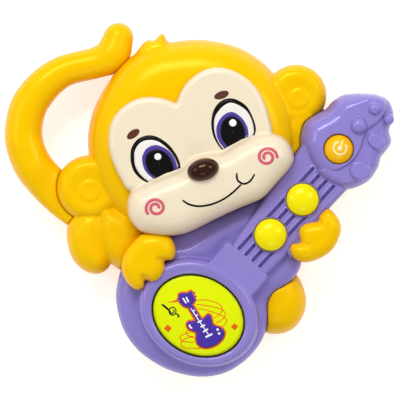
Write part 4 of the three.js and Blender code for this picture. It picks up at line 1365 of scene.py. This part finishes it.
def make_speaker():
    place = SPEAKER_PLACE[:2]
    basket = [(17.6, 2.6), (20.2, 2.6), (20.4, 2.9), (20.4, 3.9), (20.2, 4.2), (18.8, 4.3), (10.6, 14.9)]
    basket += [(10.1, 15.2), (6, 15.2), (6, 14.2), (9.5, 14.2), (17.4, 4.2)]
    dress(turned("speaker_basket", place, basket, 80), "basket", "speaker_steel", node="speaker_frame")
    share = np.linspace(0.1, 1, 8)
    cone = [(0, 10.0), (3.2, 10.3), (5.2, 11.0), (5.8, 10.6)]
    cone += [(5.8 + 8.4 * t, 10.6 - 5.2 * t**0.8) for t in share]
    cone += [(14.8, 4.7), (15.3, 4.2), (15.9, 4.3), (16.3, 4.6), (15.8, 4.9), (15.2, 5.0), (14.6, 5.8)]
    cone += [(14.4 - 8.4 * t, 6.1 + 5.4 * t**1.2) for t in share] + [(5.4, 12.4), (0, 12.4)]
    piece = turned("speaker_diaphragm", place, cone, 80)
    dress(piece, "paper", "speaker_paper", "speaker_cone", "speaker_cone")
    low, high = low_high("speaker_magnet")
    radius, bottom, top = (high[0] - low[0]) / 2, low[2], high[2]
    magnet = [(0, bottom), *arc((radius - 0.5, bottom + 0.5), 0.5, -90, 0, 4)]
    magnet += [*arc((radius - 0.5, top - 1.7), 0.5, 0, 80, 4), (radius - 1.2, top - 1.1)]
    magnet += [*arc((radius - 1.7, top - 0.5), 0.5, 0, 90, 4), (0, top)]
    dress(turned("speaker_ferrite", place, magnet, 80), "magnet", "magnet", node="speaker_magnet")


def finish_inner_nodes():
    for node in ("melody_board", "neck_board", "main_board"):
        keep_node(node, "board")
    keep_node("sound_chip", "epoxy")
    for node in ("contact_low_bridge", "contact_low_tab", "contact_high_tab", "contact_high_bridge"):
        keep_node(node, "strip")
    for kind in ("battery", "speaker"):
        keep_node(f"{kind}_lead_red", "red_lead")
        keep_node(f"{kind}_lead_black", "black_lead")

# ------------------------------------------------------------------ printed face, symbol and picture

MUZZLE_RIDGE_LEFT = [(-25.2, 8.5), (-20.3, 10.9), (-16.5, 12.8), (-12.6, 14.1), (-9.0, 15.5)]
MUZZLE_RIDGE_RIGHT = [(11.9, 24.5), (14.6, 26.1), (18.9, 28.4), (22.9, 30.4), (27.9, 31.9)]
EYES = {
    "left": {
        "lash": [
            (-8.8, 15.6), (-9.4, 18.7), (-11.2, 22.5), (-14.7, 27.1), (-19.6, 30.6), (-24.2, 31.8),
            (-28.7, 30.7), (-31.3, 28.6), (-33.2, 25.4), (-33.7, 21.8), (-33.4, 18), (-31.9, 13.8),
            (-29.1, 10.6), (-25.6, 8.4),
        ],
        "white": [
            (-9.7, 15.4), (-11.9, 20.8), (-15.4, 25.3), (-19.6, 28.5), (-23.8, 29.5), (-27.7, 28.7),
            (-30.1, 26.7), (-31.6, 23.8), (-31.8, 21), (-31.4, 16.9), (-29.1, 12.7), (-25.0, 8.8),
        ],
        "iris": [
            (-10.2, 15.2), (-11.9, 20.4), (-15.2, 24.5), (-20.7, 26.9), (-25.2, 25.6), (-27.6, 22),
            (-27.8, 18.6), (-26.3, 14.1), (-22.4, 10.2),
        ],
        "pupil": [
            (-12.2, 14.4), (-12.7, 17.8), (-14.7, 21.5), (-18.2, 24.2), (-21.9, 24.7), (-25.2, 22.6),
            (-26.3, 19), (-24.4, 13.6), (-20.7, 10.8),
        ],
        "ridge": MUZZLE_RIDGE_LEFT,
        "spark": (-20.1, 21.2, 1.75, 1.65),
        "brow": (-32.3, 32.4, 3.6, 1.9, 0.62),
    },
    "right": {
        "lash": [
            (27.9, 31.8), (28.4, 35.5), (26.9, 40.6), (24.1, 45.8), (20, 48.9), (16, 50.1),
            (12.6, 49.5), (9.7, 47.5), (7.3, 43.7), (6.3, 38.2), (6.9, 32.9), (8.9, 28.2), (11.7, 24.4),
        ],
        "white": [
            (27.1, 31.7), (27.4, 34.3), (26.5, 38.9), (24.1, 43.5), (20.6, 46.3), (16.3, 47.9),
            (13.2, 46.9), (10.6, 44.6), (8.3, 41.2), (7.7, 37.2), (8.1, 32.9), (9.7, 28.6),
            (12.3, 24.7),
        ],
        "iris": [
            (24.9, 31.2), (24.1, 36), (21.2, 40.6), (16.6, 43.3), (12.2, 41.6), (9.4, 37.4),
            (8.8, 33.6), (9.9, 29.2), (12.9, 25.1),
        ],
        "pupil": [
            (23.2, 30.4), (22.9, 34.6), (20.8, 38.8), (16.6, 41.3), (12.9, 39.6), (11, 35.6),
            (11.4, 30.4), (14.5, 26),
        ],
        "ridge": MUZZLE_RIDGE_RIGHT,
        "spark": (17.0, 37.9, 1.8, 1.8),
        "brow": (11.4, 51.7, 3.8, 1.9, 0.34),
    },
}
SMILE = [
    (-7.9, -0.3, 0.8), (-4.6, -2.4, 1.0), (0.3, -3.3, 1.0), (6.3, -2.4, 1.0), (12.2, 0.1, 0.95),
    (17.1, 3.6, 0.95), (21.1, 7.5, 0.9),
]
DIMPLE = [
    (18.9, 13.1, 0.7), (18.9, 11), (19.6, 9.1), (22.1, 7.7), (24.5, 8.4), (26.2, 10), (27.7, 12.6, 0.7),
]
SWIRLS = {"left": (-21.0, -4.1, 1, 225), "right": (33.8, 20.9, -1, -8)}


def edge_between(rows, ends, count):
    """An open curve through rows whose ends join up along another open curve, as one closed loop."""
    upper = spline(rows, False, 12)
    lower = spline(ends, False, 12)

    def nearest(point):
        return int(np.argmin(np.hypot(*(lower - point).T)))

    a, b = nearest(upper[-1]), nearest(upper[0])
    bridge = lower[a : b + 1] if a <= b else lower[b : a + 1][::-1]
    loop = np.vstack([upper, bridge[1:-1]]) if len(bridge) > 2 else upper
    gaps = np.hypot(*(np.roll(loop, -1, 0) - loop).T)
    along = np.concatenate([[0], np.cumsum(gaps)])
    places = np.linspace(0, along[-1], count, endpoint=False)
    closed = np.vstack([loop, loop[:1]])
    return np.column_stack([np.interp(places, along, closed[:, k]) for k in (0, 1)])


def print_on(name, field, sheet, closed_rows, material, height, slot="printed_sticker", body="root"):
    piece = printed(name, field, sheet, closed_rows, height)
    return dress(piece, material, slot, body)


def print_oval(name, shape, rings, material, height):
    """A filled oval on the face. shape is its x, y, two radii and turn."""
    print_on(name, face_field, filled(oval(*shape), shape[:2], rings), True, material, height)


def print_eye(side):
    eye = EYES[side]
    layers = (("lash", "ink_black", 0.05), ("white", "ink_eye", 0.09), ("iris", "ink_iris", 0.13))
    for part, material, height in (*layers, ("pupil", "ink_black", 0.17)):
        loop = edge_between(eye[part], eye["ridge"], 110)
        sheet = filled(loop, loop.mean(0), 9)
        print_on(f"eye_{side}_{part}", face_field, sheet, True, material, height)
    print_oval(f"eye_{side}_spark", (*eye["spark"], 0), 4, "ink_white", 0.21)
    print_oval(f"brow_{side}", eye["brow"], 5, "ink_brow", 0.06)


def print_swirl(side):
    x, y, hand, start = SWIRLS[side]
    t = np.linspace(0, 1, 30)
    radius = 5.05 - 3.7 * t
    angle = math.radians(start) - hand * math.radians(600) * t
    line = np.column_stack([x + radius * np.cos(angle), y + 0.94 * radius * np.sin(angle)])
    print_on(f"cheek_{side}", face_field, stroke(line, 1.5, 5), False, "ink_pink", 0.06)


def print_face():
    for side in EYES:
        print_eye(side)
        print_swirl(side)
    dimple = [(*p, 0.95) if len(p) == 2 else p for p in DIMPLE]
    print_on("smile_line", face_field, stroke(SMILE, 1), False, "ink_black", 0.06)
    print_on("smile_dimple", face_field, stroke(dimple, 1), False, "ink_black", 0.09)


def power_top_field(x, y, z):
    top = low_high("power_button")[1][2]
    r = np.clip(np.hypot(x - POWER_PLACE[0], y - POWER_PLACE[1]) / POWER_RADIUS, 0, 1)
    return z - dome_height(r, top)


def print_power():
    x, y, _ = POWER_PLACE
    x, y = x + 0.6, y + 0.5
    angle = np.linspace(math.radians(70 + 38), math.radians(70 + 322), 26)
    ring = np.column_stack([x + 3.2 * np.cos(angle), y + 3.2 * np.sin(angle)])
    bar = np.array([(x, y), (x + 0.55, y + 1.5), (x + 1.5, y + 4.1)])
    body = "power_button"
    print_on("power_ring", power_top_field, stroke(ring, 0.95, 3), False, "ink_symbol", 0.06, body=body)
    print_on("power_bar", power_top_field, stroke(bar, 1.0, 6), False, "ink_symbol", 0.09, body=body)
    dot = filled(oval(x - 0.1, y - 0.1, 1.3, 1.3, 0), (x - 0.1, y - 0.1), 4)
    print_on("power_dot", power_top_field, dot, True, "ink_symbol", 0.12, body=body)


PICTURE_BODY = [
    (-1.0, -59.9), (-2.7, -60.2), (-4.8, -60.5), (-5.8, -61.9), (-5.0, -63.9), (-3.3, -65.1),
    (-1.5, -65.7), (-1.0, -67.1), (-1.1, -69.8), (0.0, -72.1), (2.4, -73.4), (5.4, -73.4), (8.7, -72.1),
    (11.1, -70.1), (12.6, -67.8), (12.8, -65.7), (11.4, -63.7), (9.1, -62.9), (7.1, -61.7),
    (6.6, -59.7), (5.9, -57.5), (4.6, -57.0), (3.1, -58.4), (1.7, -59.4),
]
PICTURE_HEAD = [
    (-9.7, -47.2), (-8.0, -46.4), (-5.3, -46.3), (-3.8, -45.4), (-2.6, -47.4), (-1.8, -49.6),
    (-2.8, -51.7), (-5.0, -53.4), (-7.2, -52.8), (-9.2, -50.6),
]
PICTURE_NECK = [(-4.4, -52.2), (0.9, -60.9)]
LOOPS = [
    [(-0.6, -50.0), (3.4, -49.8), (8.4, -51.0), (11.1, -52.7), (11.8, -54.7), (10.4, -57.0), (7.4, -59.0)],
    [(-1.2, -52.0), (3.4, -52.5), (10.1, -54.0), (12.8, -55.7), (13.1, -58.0), (11.1, -60.0), (8.7, -61.2)],
    [(-0.6, -53.9), (3.4, -54.7), (9.4, -56.7), (13.1, -58.7), (13.8, -60.7), (12.1, -63.0)],
    [(-4.2, -66.0), (-8.8, -67.6), (-8.4, -70.0), (-5.8, -70.6), (-2.2, -70.9)],
    [(-2.0, -68.4), (-5.0, -68.4), (-8.0, -70.1), (-8.7, -71.8), (-7.3, -73.4), (-3.3, -73.8), (1.6, -73.8)],
    [(-4.0, -64.8), (-6.2, -65.4), (-5.3, -67.4), (-2.4, -68.0)],
]
WHITE_STROKES = [
    [(-7.8, -48.8, 0.75), (-6.0, -51.6, 0.75)], [(-6.2, -48.3, 0.75), (-4.8, -51.0, 0.75)],
    [(-3.9, -53.8, 0.5), (0.2, -60.0, 0.5), (5.1, -67.2, 0.5)], [(-0.5, -61.1, 0.8), (1.7, -60.0, 0.8)],
    [(1.0, -63.3, 0.8), (3.3, -62.2, 0.8)], [(2.2, -65.8, 0.8), (4.8, -64.2, 0.8)],
    [(3.4, -68.4, 0.95), (7.0, -66.6, 0.95)], [(-4.5, -62.0, 0.8), (-4.2, -63.1, 0.9), (-3.1, -63.9, 0.7)],
    [(-3.0, -55.6, 0.7), (-1.8, -54.8, 0.7)], [(-1.5, -57.9, 0.7), (-0.3, -57.1, 0.7)],
]
DIAMONDS = [(-15.2, -63.9, 1.95), (17.9, -63.1, 1.85)]


def grown(loop, amount):
    """A closed loop moved outwards along its normals."""
    ahead = np.roll(loop, -1, 0) - np.roll(loop, 1, 0)
    ahead /= np.linalg.norm(ahead, axis=1)[:, None]
    out = np.stack([ahead[:, 1], -ahead[:, 0]], 1)
    area = np.sum(loop[:, 0] * np.roll(loop[:, 1], -1) - np.roll(loop[:, 0], -1) * loop[:, 1])
    return loop + out * amount * (1 if area > 0 else -1)


def sticker_field(x, y, z):
    return z - melody_top(x, y)


PICTURE_PEGS = [
    (-9.6, -49.6, -10.6, -49.0), (-8.8, -51.0, -9.9, -50.9), (-7.4, -52.4, -8.0, -53.0),
    (-2.6, -46.6, -1.6, -46.0), (-1.9, -48.2, -1.0, -47.9), (-1.9, -49.8, -1.0, -50.0),
]
FLAME = [(-15.6, -50.9, 0.2), (-12.4, -50.7, 0.7), (-9.6, -49.8, 1.8)]
CLEF = [
    (-18.2, -52.0, 0.9), (-16.4, -53.4, 1.1), (-14.6, -55.0, 0.9), (-13.2, -56.6, 0.6),
    (-12.0, -55.4, 0.5), (-12.8, -54.6, 0.4),
]
CLEF_TAIL = [(-11.3, -56.4, 0.5), (-10.2, -57.2, 0.7), (-9.6, -58.0, 0.5), (-10.4, -58.2, 0.9)]


def on_button(name, sheet, closed_rows, material, height):
    return print_on(name, sticker_field, sheet, closed_rows, material, height, body="melody_button")


def print_sticker():
    rim = band(ellipse_polygon(DISC, -0.05, 120), ellipse_polygon(DISC, -0.6, 120), 3)
    on_button("sticker_outline", rim, True, "ink_outline", 0.05)
    sheet = filled(ellipse_polygon(DISC, -0.55, 120), (DISC["x"], DISC["y"]), 14)
    sticker = on_button("sticker_sheet", sheet, True, "sticker", 0.09)
    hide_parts("melody_sticker")


def print_guitar():
    for i, line in enumerate(LOOPS):
        on_button(f"picture_loop_{i + 1}", stroke(line, 0.42), False, "ink_orange", 0.115 + 0.004 * i)
    parts = (("body", PICTURE_BODY, (5.0, -66.0)), ("head", PICTURE_HEAD, (-5.6, -49.4)))
    for part, outline, centre in parts:
        loop = spline(outline, True, 5)
        on_button(f"picture_{part}_edge", filled(grown(loop, 0.75), centre, 7), True, "ink_orange", 0.15)
        on_button(f"picture_{part}", filled(loop, centre, 7), True, "ink_blue", 0.2)
    on_button("picture_neck_edge", stroke(PICTURE_NECK, 4.1), False, "ink_orange", 0.155)
    on_button("picture_neck", stroke(PICTURE_NECK, 2.6), False, "ink_blue", 0.205)
    on_button("picture_flame", stroke(FLAME, 1), False, "ink_orange", 0.145)
    for i, (x0, y0, x1, y1) in enumerate(PICTURE_PEGS):
        on_button(f"picture_peg_{i + 1}", stroke([(x0, y0), (x1, y1)], 0.7), False, "ink_blue", 0.195)
    for i, line in enumerate(WHITE_STROKES):
        on_button(f"picture_white_{i + 1}", stroke(line, 1), False, "ink_white", 0.24 + 0.003 * i)
    for i, (x, y) in enumerate(((9.5, -64.5), (10.2, -66.5))):
        dot = filled(oval(x, y, 0.65, 0.6, 0), (x, y), 3)
        on_button(f"picture_dot_{i + 1}", dot, True, "ink_white", 0.24)


def print_marks():
    for i, (x, y, half) in enumerate(DIAMONDS):
        corners = [(x + half, y + 0.2), (x - 0.2, y + half), (x - half, y - 0.1), (x + 0.2, y - half)]
        diamond = filled(rounded(corners, 0.3), (x, y), 4)
        on_button(f"picture_diamond_{i + 1}", diamond, True, "ink_orange", 0.14)
    on_button("picture_clef", stroke(CLEF, 1), False, "ink_outline", 0.14)
    angle = np.linspace(0, 2 * math.pi, 25)
    ring = np.column_stack([-12.9 + 1.75 * np.cos(angle), -55.4 + 1.95 * np.sin(angle)])
    on_button("picture_clef_ring", stroke(ring, 0.55, 3), False, "ink_outline", 0.15)
    on_button("picture_clef_tail", stroke(CLEF_TAIL, 1), False, "ink_outline", 0.145)


# ------------------------------------------------------------------ studio


def area_light(name, place, target, size, power, colour=(1, 1, 1)):
    data = bpy.data.lights.new(name, "AREA")
    data.shape = "RECTANGLE"
    data.size, data.size_y = size
    data.energy = power
    data.color = colour
    light = bpy.data.objects.new(name, data)
    light.location = place
    light.rotation_euler = (Vector(target) - Vector(place)).to_track_quat("-Z", "Y").to_euler()
    light.visible_camera = False
    bpy.context.scene.collection.objects.link(light)


def make_studio():
    scene = bpy.context.scene
    scene.view_settings.view_transform = "Standard"
    scene.view_settings.look = "None"
    world = bpy.data.worlds.new("studio")
    world.use_nodes = True
    background = world.node_tree.nodes["Background"]
    background.inputs["Color"].default_value = (1, 1, 1, 1)
    background.inputs["Strength"].default_value = WORLD
    scene.world = world
    for name, place, size, power in LIGHTS:
        area_light(name, place, (0, 0, 0.02), size, power)
    far = 9000
    corners = [(-far, -far, 0), (far, -far, 0), (far, far, 0), (-far, far, 0)]
    floor = mesh_object("studio_floor", corners, [[0, 1, 2, 3]])
    recipe = Recipe("studio_floor")
    grain = recipe.noise(14, 2.0)
    shade = recipe.mix(recipe.spread(grain, 0.0, 0.3), (0.7, 0.7, 0.72, 1), (0.68, 0.68, 0.7, 1))
    recipe.set(Base_Color=shade, Roughness=0.9, Specular_IOR_Level=0.0)
    recipe.set(Emission_Color=(1, 1, 1, 1), Emission_Strength=FLOOR_GLOW)
    floor.data.materials.append(recipe.material)
    floor.location.z = -0.0005


def make_camera():
    data = bpy.data.cameras.new("camera")
    data.lens, data.sensor_width = 300, 36
    data.clip_start, data.clip_end = 0.05, 50
    camera = bpy.data.objects.new("camera", data)
    width = 0.2
    reach = width * data.lens / data.sensor_width
    camera.location = (0.00075, -0.00025, VIEW_HEIGHT + reach)
    bpy.context.scene.collection.objects.link(camera)
    bpy.context.scene.camera = camera


# ------------------------------------------------------------------ build

make_shells()
make_buttons()
make_spring_parts()
make_batteries()
make_screws()
make_door()
make_speaker()
finish_inner_nodes()
print_face()
print_power()
print_sticker()
print_guitar()
print_marks()
make_studio()
make_camera()
